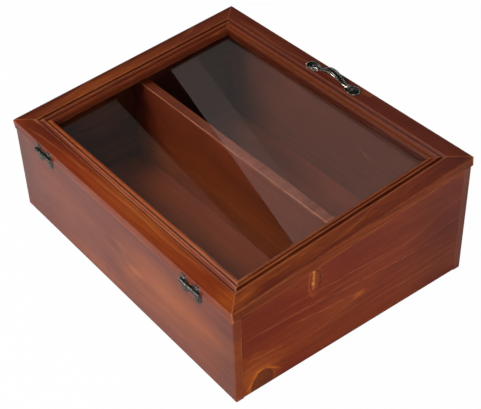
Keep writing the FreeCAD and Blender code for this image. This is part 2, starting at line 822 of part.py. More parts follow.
def handle_casting():
    """Two shell feet and the oval bow that springs from one to the other."""
    body = new_body("handle")
    feet = new_sketch(body, "XY_Plane", "feet")
    for side in (-1, 1):
        draw_outline(feet, *shell_outline(side))
    pad(body, feet, "shell_height")

    def rim_top(edge):
        box = edge.BoundBox
        return near(box.ZMin, value("shell_height")) and near(box.ZMax, box.ZMin)

    dress_edges(body, "Chamfer", "shell_bevel", rim_top)
    arch = new_sketch(body, "XZ_Plane", "arch")
    draw_outline(
        arch,
        ("-bow_reach + bow_depth", "0"),
        [
            ("bow_reach - bow_depth", "0", "bow_height - bow_depth"),
            ("bow_reach + bow_depth", "0"),
            ("-bow_reach - bow_depth", "0", "-(bow_height + bow_depth)"),
            ("-bow_reach + bow_depth", "0"),
        ],
    )
    pad(body, arch, "2 * bow_width", both_ways=True)

    def bow_edge(edge):
        box = edge.BoundBox
        return near(box.YMin, box.YMax) and box.ZMax > value("2 * shell_height")

    dress_edges(body, "Chamfer", "bow_bevel", bow_edge)
    across = [f"{side} * (bow_reach + screw_reach)" for side in (-1, 1)]
    holes = new_sketch(body, "XY_Plane", "holes")
    seats = new_sketch(body, "XY_Plane", "seats", "screw_seat")
    for middle in across:
        draw_circle(holes, middle, "0", HOLE_IN_METAL)
        draw_circle(seats, middle, "0", "head_radius + screw_play")
    pocket(body, holes, "4 * shell_height", both_ways=True)
    pocket(body, seats, "4 * shell_height", reverse=True)
    place(body, ("0", f"{HIGH_EDGE} - handle_line", "lid_thickness"), within=LID_PLACE)
    return body


handle = handle_casting()

doc.recompute()


# ---- checks and files ----------------------------------------------------

SUB_PARTS = (
    [low_wall, high_wall, left_end_panel, right_end_panel, bottom_panel, divider]
    + [corner_brads, floor_brads, case_screws]
    + rails
    + [mitre_brads, glass_pane]
    + strips
    + [strip_pins, lid_screws]
    + leaves
    + hinge_pins
    + [handle, handle_screws]
)

for item in doc.Objects:
    if "Invalid" in item.State or "Error" in item.State:
        raise ValueError(f"{item.Label} failed: {item.State}")
for item in SUB_PARTS:
    if item.Shape.isNull() or not item.Shape.isValid() or not item.Shape.Solids:
        raise ValueError(f"{item.Label} has no sound shape")

os.makedirs("parts", exist_ok=True)
for item in SUB_PARTS:
    item.Shape.exportStep(f"parts/{item.Label}.step")
    print(item.Label, len(item.Shape.Solids), round(item.Shape.Volume, 1))
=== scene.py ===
"""Tabletop display case: stained boards, moulded lid, antique fittings, glass."""

from math import atan2, cos, hypot, pi, radians, sin

import bmesh
import bpy
from mathutils import Matrix, Vector


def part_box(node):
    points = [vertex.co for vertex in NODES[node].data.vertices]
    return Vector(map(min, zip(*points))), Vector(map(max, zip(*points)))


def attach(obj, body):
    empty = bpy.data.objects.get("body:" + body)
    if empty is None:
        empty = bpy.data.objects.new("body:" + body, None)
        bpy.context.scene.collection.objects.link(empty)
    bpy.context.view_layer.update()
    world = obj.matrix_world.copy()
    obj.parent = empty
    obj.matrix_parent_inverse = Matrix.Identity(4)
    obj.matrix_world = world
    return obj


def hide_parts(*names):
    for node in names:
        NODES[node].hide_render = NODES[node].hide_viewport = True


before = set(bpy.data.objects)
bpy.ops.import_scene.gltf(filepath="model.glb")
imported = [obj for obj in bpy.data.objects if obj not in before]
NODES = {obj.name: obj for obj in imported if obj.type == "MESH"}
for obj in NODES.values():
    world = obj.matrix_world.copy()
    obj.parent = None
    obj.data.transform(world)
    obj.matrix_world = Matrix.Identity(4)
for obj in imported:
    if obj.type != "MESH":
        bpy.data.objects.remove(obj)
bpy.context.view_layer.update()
MM = 0.001


# ---- where things are, from the frame ------------------------------------

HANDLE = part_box("handle")
HANDLE_MIDDLE = (HANDLE[0].y + HANDLE[1].y) / 2
DIVIDER_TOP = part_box("divider")[1].z
# the rails' upright faces at the glass
SIGHT_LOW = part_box("low_rail")[1].y
SIGHT_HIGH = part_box("high_rail")[0].y
SIGHT_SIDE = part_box("left_rail")[1].x
# the rim, and the lid on it, rise from the hinged side to the other
LOW_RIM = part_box("low_wall")[1]
HIGH_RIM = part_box("high_wall")[1]
SLOPE = atan2(HIGH_RIM.z - LOW_RIM.z, HIGH_RIM.y - LOW_RIM.y)

X, Y, Z = (1, 0, 0), (0, 1, 0), (0, 0, 1)


# ---- small helpers for node trees ----------------------------------------


def feed(tree, socket, value):
    """Link another node's socket to this one, or give it a plain value."""
    if isinstance(value, bpy.types.NodeSocket):
        tree.links.new(value, socket)
    else:
        socket.default_value = value


def add(tree, kind, inputs=None, **settings):
    """Add a node. Inputs are values or the sockets that feed them."""
    node = tree.nodes.new("ShaderNode" + kind)
    for name, value in settings.items():
        setattr(node, name, value)
    for name, value in (inputs or {}).items():
        feed(tree, node.inputs[name], value)
    return node


def maths(tree, operation, *values):
    """One Math node; returns its result."""
    inputs = dict(enumerate(values))
    return add(tree, "Math", inputs, operation=operation).outputs[0]


def times(tree, first, second):
    return maths(tree, "MULTIPLY", first, second)


def times_plus(tree, first, second, third):
    """first times second, plus third."""
    return maths(tree, "MULTIPLY_ADD", first, second, third)


def minus(tree, first, second):
    return maths(tree, "SUBTRACT", first, second)


def over(tree, first, second):
    return maths(tree, "DIVIDE", first, second)


def vector_maths(tree, operation, *values):
    """One Vector Math node; returns its vector, or its number if it has one."""
    inputs = dict(enumerate(values))
    node = add(tree, "VectorMath", inputs, operation=operation)
    scalar = operation in ("LENGTH", "DOT_PRODUCT")
    return node.outputs["Value" if scalar else "Vector"]


def object_place(tree):
    """Where the surface is, in the object's own coordinates."""
    return add(tree, "TexCoord").outputs["Object"]


def part_of(tree, vector, axis):
    return add(tree, "SeparateXYZ", {"Vector": vector}).outputs[axis]


def vector_of(tree, x, y=0.0, z=0.0):
    return add(tree, "CombineXYZ", {"X": x, "Y": y, "Z": z}).outputs[0]


def fade(tree, value, start, end):
    """0 at start, 1 at end, smooth between them."""
    inputs = {"Value": value, "From Min": start, "From Max": end}
    return add(tree, "MapRange", inputs, interpolation_type="SMOOTHSTEP").outputs[0]


def blend(tree, amount, first, second):
    """Mix two colours."""
    node = add(tree, "Mix", data_type="RGBA")
    for socket, value in ((0, amount), (6, first), (7, second)):
        feed(tree, node.inputs[socket], value)
    return node.outputs[2]


def noise(tree, vector, scale, detail=2.0, roughness=0.5, distortion=0.0):
    """Soft noise from 0 to 1; scale is its swells to the metre."""
    inputs = {
        "Vector": vector,
        "Scale": scale,
        "Detail": detail,
        "Roughness": roughness,
        "Distortion": distortion,
    }
    return add(tree, "TexNoise", inputs).outputs["Fac"]


def drawn_noise(tree, vector, scales, *details):
    """Noise with a scale for each of the board's axes."""
    return noise(tree, vector_maths(tree, "MULTIPLY", vector, scales), 1.0, *details)


def linear(red, green, blue):
    """A colour given in steps from 0 to 255, as the shader wants it."""

    def one(value):
        value /= 255
        return value / 12.92 if value <= 0.04045 else ((value + 0.055) / 1.055) ** 2.4

    return (one(red), one(green), one(blue), 1.0)


def new_group(name, inputs, outputs):
    """An empty node group. An input is a number if its default is one, and
    otherwise a vector; an output is a number unless it is called Vector.
    Returns the group, what it is given and its result node."""
    group = bpy.data.node_groups.new(name, "ShaderNodeTree")
    for label, value in inputs.items():
        kind = "NodeSocketFloat" if isinstance(value, float) else "NodeSocketVector"
        socket = group.interface.new_socket(label, in_out="INPUT", socket_type=kind)
        if value is not None:
            socket.default_value = value
    for label in outputs:
        kind = "NodeSocketVector" if label == "Vector" else "NodeSocketFloat"
        group.interface.new_socket(label, in_out="OUTPUT", socket_type=kind)
    given = group.nodes.new("NodeGroupInput").outputs
    return group, given, group.nodes.new("NodeGroupOutput")


def socket_name(word):
    """pith_across is the socket Pith Across."""
    return word.replace("_", " ").title()


def give_back(group, result, **values):
    """Link a group's results to its way out; returns the finished group."""
    for name, value in values.items():
        group.links.new(value, result.inputs[socket_name(name)])
    return group


def placed(tree, group, **inputs):
    """Put a shared effect into a material; returns its results."""
    node = tree.nodes.new("ShaderNodeGroup")
    node.node_tree = group
    for name, value in inputs.items():
        feed(tree, node.inputs[socket_name(name)], value)
    return node.outputs


def new_material(name):
    """An empty material and its node tree."""
    material = bpy.data.materials.new(name)
    material.use_nodes = True
    tree = material.node_tree
    tree.nodes.clear()
    return material, tree


def finish_material(tree, shader):
    """Make this shader node the material's surface."""
    output = tree.nodes.new("ShaderNodeOutputMaterial")
    tree.links.new(shader.outputs[0], output.inputs["Surface"])


# ---- shared effects ------------------------------------------------------


def make_board_axes():
    """Turns object coordinates into board coordinates: X along the grain, Y
    across the board, Z through it."""
    axes = {"Along": X, "Across": Y, "Through": Z}
    group, given, result = new_group("board_axes", axes, ["Vector"])
    place = object_place(group)
    parts = [vector_maths(group, "DOT_PRODUCT", place, given[axis]) for axis in axes]
    return give_back(group, result, vector=vector_of(group, *parts))


def make_knot():
    """A branch cut across: its core, the dark line round it, the bright rim
    of resinous wood outside that, and the grain that parts to pass it. Its
    fades are measured in knot sizes: the core ends at about 1."""
    group, given, result = new_group(
        "knot",
        {"Vector": None, "Place": None, "Size": (0.01, 0.01, 1), "Part Grain": 0.75},
        ["Vector", "Core", "Outline", "Halo", "Rings"],
    )
    away = vector_maths(group, "SUBTRACT", given["Vector"], given["Place"])
    wobble = noise(group, away, 110.0, 3.0)
    stretched = vector_maths(group, "DIVIDE", away, given["Size"])
    distance = vector_maths(group, "LENGTH", stretched)
    uneven = times_plus(group, wobble, 0.5, minus(group, distance, 0.25))
    core = fade(group, uneven, 1.08, 0.88)
    # the rim is brightest towards the start of the grain, and fades out
    side = part_of(group, stretched, "X")
    lean = times_plus(group, fade(group, side, 1.1, -0.7), 0.75, 0.25)
    rim = times(group, fade(group, uneven, 1.02, 1.2), fade(group, uneven, 1.62, 1.22))
    halo = times(group, rim, lean)
    outline = times(group, fade(group, uneven, 0.84, 1.0), fade(group, uneven, 1.14, 1.02))
    rings = maths(group, "FRACT", times(group, uneven, 4.0))
    # the grain is squeezed beside the knot, over a length three knots long
    reach = vector_maths(group, "MULTIPLY", stretched, (0.38, 0.62, 0.5))
    apart = vector_maths(group, "DOT_PRODUCT", reach, reach)
    nearness = maths(group, "EXPONENT", times(group, apart, -1.0))
    squeeze = times(group, nearness, given["Part Grain"])
    sideways = vector_maths(group, "MULTIPLY", away, (0, 1, 1))
    shift = add(group, "VectorMath", {0: sideways, "Scale": squeeze}, operation="SCALE")
    bent = vector_maths(group, "SUBTRACT", given["Vector"], shift.outputs[0])
    return give_back(group, result, vector=bent, core=core, outline=outline, halo=halo, rings=rings)


def make_patch():
    """A soft cloud of other stain, frayed along the grain. Half of what each
    noise adds is taken off again, so that the cloud keeps its size."""
    group, given, result = new_group(
        "stain_patch", {"Vector": None, "Place": None, "Size": (0.05, 0.02, 1)}, ["Mask"]
    )
    away = vector_maths(group, "SUBTRACT", given["Vector"], given["Place"])
    stretched = vector_maths(group, "DIVIDE", away, given["Size"])
    distance = vector_maths(group, "LENGTH", stretched)
    cloud = drawn_noise(group, stretched, (0.8, 1.8, 1), 4.0, 0.6)
    frayed = drawn_noise(group, given["Vector"], (30, 420, 1), 2.0)
    uneven = times_plus(group, cloud, 1.5, minus(group, distance, 0.75))
    uneven = times_plus(group, frayed, 0.5, minus(group, uneven, 0.25))
    return give_back(group, result, mask=fade(group, uneven, 1.15, 0.0))


def make_streak():
    """One line of grain from Start to Start plus Reach: it wavers, breaks up
    and dies away at both ends."""
    group, given, result = new_group(
        "grain_streak",
        {"Vector": None, "Start": None, "Reach": (0.05, 0, 0), "Thickness": 0.001},
        ["Mask"],
    )
    away = vector_maths(group, "SUBTRACT", given["Vector"], given["Start"])
    reach = given["Reach"]
    whole = vector_maths(group, "DOT_PRODUCT", reach, reach)
    run = over(group, vector_maths(group, "DOT_PRODUCT", away, reach), whole)
    turned = part_of(group, vector_maths(group, "CROSS_PRODUCT", reach, away), "Z")
    offset = over(group, turned, vector_maths(group, "LENGTH", reach))
    waver = drawn_noise(group, given["Vector"], (28, 60, 1), 2.0)
    offset = times_plus(group, minus(group, waver, 0.5), 7 * MM, offset)
    share = over(group, maths(group, "ABSOLUTE", offset), given["Thickness"])
    near = fade(group, share, 1.0, 0.2)
    ends = times(group, fade(group, run, 0.0, 0.25), fade(group, run, 1.0, 0.8))
    broken = drawn_noise(group, given["Vector"], (90, 400, 1), 2.0)
    mask = times(group, times(group, near, ends), fade(group, broken, 0.25, 0.6))
    return give_back(group, result, mask=mask)


def make_crest_wear_and_highlight():
    """A painted highlight, partly wear, along a moulding at one place across the board."""
    group, given, result = new_group(
        "crest_wear_and_highlight", {"Vector": None, "Across": 0.0, "Half Width": 0.001}, ["Mask"]
    )
    across = part_of(group, given["Vector"], "Y")
    off = maths(group, "ABSOLUTE", minus(group, across, given["Across"]))
    line = fade(group, over(group, off, given["Half Width"]), 1.0, 0.15)
    rub_and_highlight = drawn_noise(group, given["Vector"], (200, 500, 1), 3.0, 0.6)
    # a third of the line is there even where the noise is lowest
    patchy = times_plus(group, fade(group, rub_and_highlight, 0.3, 0.65), 0.65, 0.35)
    return give_back(group, result, mask=times(group, line, patchy))


def make_pine_grain():
    """Growth rings round a pith that runs a little out of the board. The soft
    wood at a ring's start drinks the stain and turns dark; the hard line at
    its end stays light. Fine fibres and slow clouds lie over them."""
    group, given, result = new_group(
        "pine_grain",
        {
            "Vector": None,
            "Pith Across": 0.0,
            "Pith Depth": 0.03,
            "Run Out": 0.05,
            "Spacing": 0.004,
            "Seed": 0.0,
        },
        ["Hard Line", "Soft Band", "Fibres", "Cloud"],
    )
    seed = given["Seed"]
    moved = vector_maths(group, "ADD", given["Vector"], vector_of(group, seed, seed, seed))
    # the rings wander, slowly by some millimetres and in small ripples
    slow = drawn_noise(group, moved, (5, 18, 18), 1.0)
    ripple = drawn_noise(group, moved, (22, 90, 90), 1.0)
    wander = times(group, minus(group, slow, 0.5), 12 * MM)
    wander = times_plus(group, minus(group, ripple, 0.5), 2.5 * MM, wander)
    parts = add(group, "SeparateXYZ", {"Vector": given["Vector"]}).outputs
    across = minus(group, parts["Y"], given["Pith Across"])
    rise = times(group, parts["X"], given["Run Out"])
    depth = maths(group, "ADD", parts["Z"], given["Pith Depth"])
    depth = maths(group, "ADD", depth, rise)
    squares = times_plus(group, across, across, times(group, depth, depth))
    radius = maths(group, "ADD", maths(group, "SQRT", squares), wander)
    years = over(group, radius, given["Spacing"])
    season = maths(group, "FRACT", years)
    line = times(group, fade(group, season, 0.72, 0.92), fade(group, season, 1.0, 0.95))
    band = times(group, fade(group, season, 0.6, 0.05), fade(group, season, 0.0, 0.05))
    # some years are strong and some weak, and none is strong all along
    year = maths(group, "FLOOR", years)
    vigour = noise(group, vector_of(group, year, seed), 3.7, 0.0)
    broken = drawn_noise(group, moved, (14, 70, 70), 2.0)
    strength = times(group, fade(group, vigour, 0.3, 0.7), fade(group, broken, 0.3, 0.6))
    fine = drawn_noise(group, moved, (24, 800, 800), 2.0, 0.6)
    coarse = drawn_noise(group, moved, (9, 300, 300), 3.0, 0.6)
    return give_back(
        group,
        result,
        hard_line=times(group, line, strength),
        soft_band=times(group, band, strength),
        fibres=times_plus(group, coarse, 0.6, times(group, fine, 0.4)),
        cloud=drawn_noise(group, moved, (6, 24, 24), 3.0, 0.5, 0.8),
    )


def make_edge_wear_and_crease_shade():
    """Rubbed arrises and crests; close creases, for painted shade on wood and patina on metal."""
    group, given, result = new_group("edge_wear_and_crease_shade", {"Width": 0.001, "Seed": 0.0}, ["Wear", "Grime"])
    place = object_place(group)
    # looking inwards, only an edge or a crest has another face close by
    sampling = {"samples": 8, "only_local": True}
    inside = add(group, "AmbientOcclusion", {"Distance": given["Width"]}, inside=True, **sampling)
    edge = fade(group, inside.outputs["AO"], 0.93, 0.55)
    # looking outwards, a crease or hollow has faces close by: on the wood this darkening is painted
    # shade, partly dirt
    shut = add(group, "AmbientOcclusion", {"Distance": 4 * MM}, **sampling)
    grime = fade(group, shut.outputs["AO"], 0.85, 0.3)
    moved = vector_maths(group, "ADD", place, vector_of(group, given["Seed"]))
    patchy = fade(group, noise(group, moved, 130.0, 4.0, 0.7), 0.36, 0.6)
    wear = times(group, edge, times_plus(group, patchy, 0.7, 0.3))
    return give_back(group, result, wear=wear, grime=grime)


BOARD_AXES = make_board_axes()
KNOT = make_knot()
PATCH = make_patch()
STREAK = make_streak()
CREST_WEAR_AND_HIGHLIGHT = make_crest_wear_and_highlight()
PINE_GRAIN = make_pine_grain()
EDGE_WEAR_AND_CREASE_SHADE = make_edge_wear_and_crease_shade()


# ---- wood ----------------------------------------------------------------

WARM_STAIN_AND_LIGHT = linear(168, 84, 26)
KNOT_LINE_AND_SHADE = linear(58, 18, 10)
RUBBED_STAIN_AND_HIGHLIGHT = linear(194, 118, 72)
GRIME_AND_SHADE = linear(34, 10, 5)
PAINTED_UPRIGHT_SHADE = linear(68, 19, 2)

KNOT_BROWN = linear(140, 72, 26)
RED_HEART = linear(112, 52, 18)
DARK_HEART = linear(66, 34, 14)
AMBER = linear(176, 92, 30)
BRIGHT_AMBER = linear(206, 126, 60)
LIGHT_LINE = linear(176, 100, 62)
PALE_PINE = linear(196, 128, 92)
ROSE = linear(150, 82, 60)
RUST = linear(104, 26, 4)

# how strongly bands, lines, knots, and painted shade with dirt, lie over the stain
BAND_STRENGTH, LINE_STRENGTH = 0.8, 0.6
KNOT_STRENGTH, RING_STRENGTH = 0.5, 0.4
GRIME_AND_SHADE_STRENGTH = 0.8
RUBBED_WIDTH = 1.3 * MM
# before the glass: where the painted shade on a rail's upright face begins, and is darkest
UPRIGHT_START, UPRIGHT_DARKEST = 1.8 * MM, 0.9 * MM
# the lacquer's least roughness, and what haze and open grain add to it
LACQUER, HAZE, OPEN_GRAIN = 0.26, 0.16, 0.05
RELIEF, RELIEF_HEIGHT = 0.12, 0.15 * MM


def stained_pine(
    name, grain, pith, spacing, seed, stain, *,
    knots=(), patches=(), shades=(), streaks=(), crests=(), sight=None,
    lines=0.5, fibre=0.45, wear=0.45, ior=1.5,
):
    """Pine under red-brown stain and satin lacquer, in board coordinates.

    grain    the board's axes: along, across, through
    pith     the middle of its rings: across, depth, run out
    spacing  from ring to ring
    stain    its tones: deep, plain, warm
    knots    along, across, half length, half width, core colour
    patches  of brighter colour, and
    shades   of darker, some of both painted light and shade: along, across,
             half length, half width, strength
    streaks  start along, start across, end along, end across, half width,
             colour, strength
    crests   painted highlights along the grain, partly rubbed wear: across,
         half width, colour, strength
    sight    painted shade on a rail's upright face at the glass: across, way in, strength

    lines, fibre and wear are the strengths of rings, fibres and rubbed
    edges, and ior is the lacquer's: the lower, the less it mirrors.
    """
    material, tree = new_material(name)
    along, across, through = grain
    board = placed(tree, BOARD_AXES, along=along, across=across, through=through)["Vector"]
    flat = vector_maths(tree, "MULTIPLY", board, (1, 1, 0))
    deep, plain, warm = stain

    def marked(effect, mark):
        """Place a knot or a cloud: along, across, half length, half width."""
        place_along, place_across, half_length, half_width = mark
        place, size = (place_along, place_across, 0), (half_length, half_width, 1)
        return placed(tree, effect, vector=flat, place=place, size=size)

    spots = []
    for *mark, core in knots:
        spot = marked(KNOT, mark)
        shift = vector_maths(tree, "SUBTRACT", spot["Vector"], flat)
        board = vector_maths(tree, "ADD", board, shift)
        spots.append((spot, core))
    pith_across, pith_depth, run_out = pith
    rings = placed(
        tree, PINE_GRAIN, vector=board, pith_across=pith_across, pith_depth=pith_depth,
        run_out=run_out, spacing=spacing, seed=seed,
    )
    edges = placed(tree, EDGE_WEAR_AND_CREASE_SHADE, width=RUBBED_WIDTH, seed=seed)
    colour = blend(tree, fade(tree, rings["Cloud"], 0.3, 0.7), plain, warm)

    def lay(mask, strength, tint):
        """Lay a tint over the colour so far."""
        nonlocal colour
        colour = blend(tree, times(tree, mask, strength), colour, tint)

    # brighter and darker clouds: tone, and on some boards painted light and shade
    for clouds, tint in ((patches, WARM_STAIN_AND_LIGHT), (shades, KNOT_LINE_AND_SHADE)):
        for *mark, strength in clouds:
            lay(marked(PATCH, mark)["Mask"], strength, tint)
    open_grain = fade(tree, rings["Fibres"], 0.62, 0.36)
    lay(open_grain, fibre, deep)
    lay(rings["Soft Band"], BAND_STRENGTH * lines, deep)
    lay(rings["Hard Line"], LINE_STRENGTH * lines, RUBBED_STAIN_AND_HIGHLIGHT)
    for spot, core in spots:
        lay(spot["Halo"], KNOT_STRENGTH, WARM_STAIN_AND_LIGHT)
        ringed = times(tree, fade(tree, spot["Rings"], 0.3, 1.0), RING_STRENGTH)
        lay(spot["Core"], KNOT_STRENGTH, blend(tree, ringed, core, deep))
        lay(spot["Outline"], KNOT_STRENGTH, KNOT_LINE_AND_SHADE)
    for start_along, start_across, end_along, end_across, half_width, tint, strength in streaks:
        start = (start_along, start_across, 0)
        reach = (end_along - start_along, end_across - start_across, 0)
        streak = placed(tree, STREAK, vector=flat, start=start, reach=reach, thickness=half_width)
        lay(streak["Mask"], strength, tint)
    # light lines on moulding crests: painted highlights, partly rubbed wear
    for place_across, half_width, tint, strength in crests:
        crest = placed(tree, CREST_WEAR_AND_HIGHLIGHT, vector=flat, across=place_across, half_width=half_width)
        lay(crest["Mask"], strength, tint)
    lay(edges["Wear"], wear, RUBBED_STAIN_AND_HIGHLIGHT)
    # painted shade in creases and hollows, partly dirt
    lay(edges["Grime"], GRIME_AND_SHADE_STRENGTH, GRIME_AND_SHADE)
    # painted shade on the rail's upright face at the glass
    if sight:
        place_across, way_in, strength = sight
        face = place_across * way_in
        inwards = times(tree, part_of(tree, flat, "Y"), way_in)
        upright = fade(tree, inwards, face - UPRIGHT_START, face - UPRIGHT_DARKEST)
        lay(upright, strength, PAINTED_UPRIGHT_SHADE)

    haze = noise(tree, object_place(tree), 14.0, 3.0)
    rough = times_plus(tree, haze, HAZE, LACQUER)
    rough = times_plus(tree, open_grain, OPEN_GRAIN, rough)
    height = times_plus(tree, rings["Hard Line"], 0.5, times(tree, rings["Fibres"], 0.6))
    relief = {"Strength": RELIEF, "Distance": RELIEF_HEIGHT, "Height": height}
    bump = add(tree, "Bump", relief).outputs[0]
    finish = {"Base Color": colour, "Roughness": rough, "Normal": bump, "IOR": ior}
    finish_material(tree, add(tree, "BsdfPrincipled", finish))
    return material


def tones(*colours):
    """The deep, plain and warm tones of a stain."""
    return [linear(*colour) for colour in colours]


def dress(node, material):
    """Give a node of the frame its finish."""
    slots = NODES[node].data.materials
    slots.clear()
    slots.append(material)


def pine_board(node, *wood, **marks):
    """Give one board of the frame a piece of pine of its own."""
    dress(node, stained_pine(*wood, **marks))


WALL_TONES = tones((74, 26, 14), (100, 37, 19), (114, 46, 22))
# the high wall is greyer than the other boards, partly its tone and partly a painted reflection of
# the glass over it
HIGH_WALL_TONES = tones((90, 43, 32), (115, 58, 43), (122, 64, 45))
PANEL_TONES = tones((72, 20, 8), (110, 37, 15), (124, 48, 17))
# a darker, greyer copy of the panel tones: painted shade for the left end's inner face
PAINTED_SHADE_PANEL_TONES = tones((50, 20, 13), (74, 31, 20), (84, 38, 23))
BRIGHT_RAIL_TONES = tones((84, 24, 8), (116, 38, 12), (132, 52, 14))
RED_RAIL_TONES = tones((58, 17, 9), (87, 32, 17), (97, 38, 19))
MIDDLE_RAIL_TONES = tones((58, 18, 10), (95, 37, 17), (110, 46, 19))
SIDE_RAIL_TONES = tones((60, 18, 10), (96, 35, 17), (114, 47, 20))
# the divider and floor are lighter than the outer boards, partly their tone and partly painted
# light for the dim inside
INSIDE_TONES = tones((80, 28, 14), (110, 42, 22), (124, 53, 26))
FLOOR_TONES = tones((100, 42, 25), (134, 62, 40), (146, 71, 45))
# nearly black: the strips are also the dark band of painted shade along the rails' inner edges
STRIP_AND_SHADE_TONES = tones((28, 9, 4), (40, 13, 6), (46, 16, 7))

# how the boards stand: along, across, through
SIDE_BOARD = (X, Z, Y)
END_BOARD = (Y, Z, X)
LONG_RAIL = (X, Y, Z)
SIDE_RAIL = (Y, X, Z)

# what lies at 0.2004 along a long wall is its end grain
pine_board(
    "low_wall", "low_wall_pine", SIDE_BOARD, (0.05, 0.17, 0.07), 0.009, 3.0, WALL_TONES,
    lines=0.05, fibre=0.12, wear=0.15,
    knots=[(-0.028, 0.018, 0.0035, 0.003, RED_HEART)],
    patches=[
        (0.10, 0.058, 0.14, 0.045, 0.65),
        (-0.09, 0.06, 0.08, 0.04, 0.2),
        # painted light: these two brighten the wall where its sheen falls short
        (0.033, 0.054, 0.013, 0.007, 0.7),
        (0.022, 0.040, 0.03, 0.014, 0.4),
        (0.2004, 0.03, 0.0022, 0.09, 0.3),
        # painted sheen, brighter towards the bottom
        (-0.05, 0.008, 0.09, 0.022, 0.3),
    ],
    shades=[
        # painted shade towards both ends
        (-0.19, 0.07, 0.025, 0.06, 0.5),
        (0.19, 0.05, 0.03, 0.06, 0.3),
        (-0.028, 0.018, 0.006, 0.005, 0.5),
        # painted shade under the lid
        (-0.10, 0.102, 0.12, 0.022, 0.3),
    ],
    streaks=[
        (0.0, 0.078, 0.019, 0.060, 0.0022, LIGHT_LINE, 0.35),
        (0.018, 0.051, 0.050, 0.056, 0.0020, LIGHT_LINE, 0.35),
        (-0.025, 0.075, 0.012, 0.058, 0.003, KNOT_LINE_AND_SHADE, 0.25),
        (-0.020, 0.066, 0.018, 0.052, 0.003, KNOT_LINE_AND_SHADE, 0.2),
    ],
)
pine_board(
    "high_wall", "high_wall_pine", SIDE_BOARD, (0.04, -0.12, 0.06), 0.007, 7.0,
    HIGH_WALL_TONES, lines=0.12, fibre=0.25, wear=0.15,
    shades=[(0.2004, 0.06, 0.0022, 0.2, 0.45)],
    streaks=[
        (-0.01, 0.045, 0.05, 0.035, 0.0009, LIGHT_LINE, 0.5),
        (0.04, 0.078, 0.07, 0.066, 0.0009, PALE_PINE, 0.6),
        (0.09, 0.03, 0.16, 0.034, 0.0009, LIGHT_LINE, 0.5),
    ],
)
pine_board(
    "right_end_panel", "right_end_pine", END_BOARD, (0.12, -0.13, 0.05), 0.0074, 11.0,
    PANEL_TONES, lines=0.18, fibre=0.35, wear=0.1, ior=1.45,
    knots=[
        (-0.055, 0.102, 0.0060, 0.0140, KNOT_BROWN),
        (-0.121, 0.006, 0.0125, 0.0160, DARK_HEART),
    ],
    patches=[
        (-0.13, 0.022, 0.04, 0.04, 0.6),
        (0.004, 0.050, 0.011, 0.005, 0.9),
        (-0.05, 0.045, 0.09, 0.03, 0.2),
    ],
    shades=[
        (0.13, 0.06, 0.07, 0.09, 0.5),
        (0.10, 0.115, 0.06, 0.025, 0.3),
        # painted shade high up near the low corner
        (-0.12, 0.080, 0.06, 0.035, 0.2),
    ],
    streaks=[
        # redder towards the low corner, painted shade where the sheen is weaker, under light lines
        # of grain
        (-0.190, 0.070, -0.020, 0.070, 0.0600, RUST, 0.45),
        (-0.150, 0.075, -0.030, 0.072, 0.0010, LIGHT_LINE, 0.35),
        (-0.060, 0.071, 0.130, 0.060, 0.0010, LIGHT_LINE, 0.4),
        (-0.110, 0.088, 0.050, 0.084, 0.0010, LIGHT_LINE, 0.3),
        (-0.100, 0.064, 0.012, 0.050, 0.0010, LIGHT_LINE, 0.45),
        (-0.050, 0.034, 0.012, 0.050, 0.0010, LIGHT_LINE, 0.4),
        (0.010, 0.030, 0.140, 0.026, 0.0009, LIGHT_LINE, 0.25),
        # the upper knot's bright heart, and the crack beside it
        (-0.0575, 0.090, -0.0560, 0.120, 0.0026, BRIGHT_AMBER, 0.8),
        (-0.0500, 0.086, -0.0475, 0.112, 0.0016, KNOT_LINE_AND_SHADE, 0.6),
        # the amber arch over the bottom knot
        (-0.1420, 0.004, -0.1240, 0.027, 0.0022, AMBER, 0.7),
        (-0.1320, 0.0235, -0.1100, 0.0265, 0.0022, AMBER, 0.8),
        (-0.1170, 0.0275, -0.0980, 0.010, 0.0020, AMBER, 0.7),
        (-0.145, 0.047, -0.090, 0.040, 0.0016, AMBER, 0.35),
        # dirt in the joint with the low wall, and a painted shadow under the lid
        (-0.1443, -0.03, -0.1443, 0.130, 0.0008, GRIME_AND_SHADE, 0.6),
        (-0.156, 0.1068, -0.120, 0.1105, 0.0014, GRIME_AND_SHADE, 0.9),
    ],
)
pine_board(
    "left_end_panel", "left_end_pine", END_BOARD, (0.06, 0.21, 0.06), 0.008, 17.0,
    PAINTED_SHADE_PANEL_TONES, lines=0.1, fibre=0.35, wear=0.1,
    knots=[(0.05, 0.055, 0.006, 0.006, KNOT_BROWN)],
    # the second patch is painted light low on the panel
    patches=[(-0.04, 0.08, 0.06, 0.03, 0.3), (-0.02, 0.015, 0.08, 0.03, 0.4)],
    streaks=[
        (-0.12, 0.07, 0.03, 0.066, 0.001, LIGHT_LINE, 0.2),
        (-0.05, 0.03, 0.12, 0.026, 0.001, LIGHT_LINE, 0.2),
    ],
)
pine_board(
    "low_rail", "low_rail_pine", LONG_RAIL, (-0.12, -0.08, 0.02), 0.006, 23.0,
    BRIGHT_RAIL_TONES, ior=1.3,
    patches=[(0.19, -0.142, 0.03, 0.016, 0.6), (0.03, -0.142, 0.14, 0.016, 0.55)],
    shades=[(-0.16, -0.142, 0.07, 0.03, 0.7)],
    crests=[
        (-0.1362, 0.0011, RUBBED_STAIN_AND_HIGHLIGHT, 0.85),
        (-0.1305, 0.0011, RUBBED_STAIN_AND_HIGHLIGHT, 0.85),
        (-0.1250, 0.0022, AMBER, 0.5),
    ],
    sight=(SIGHT_LOW, 1, 0.7),
)
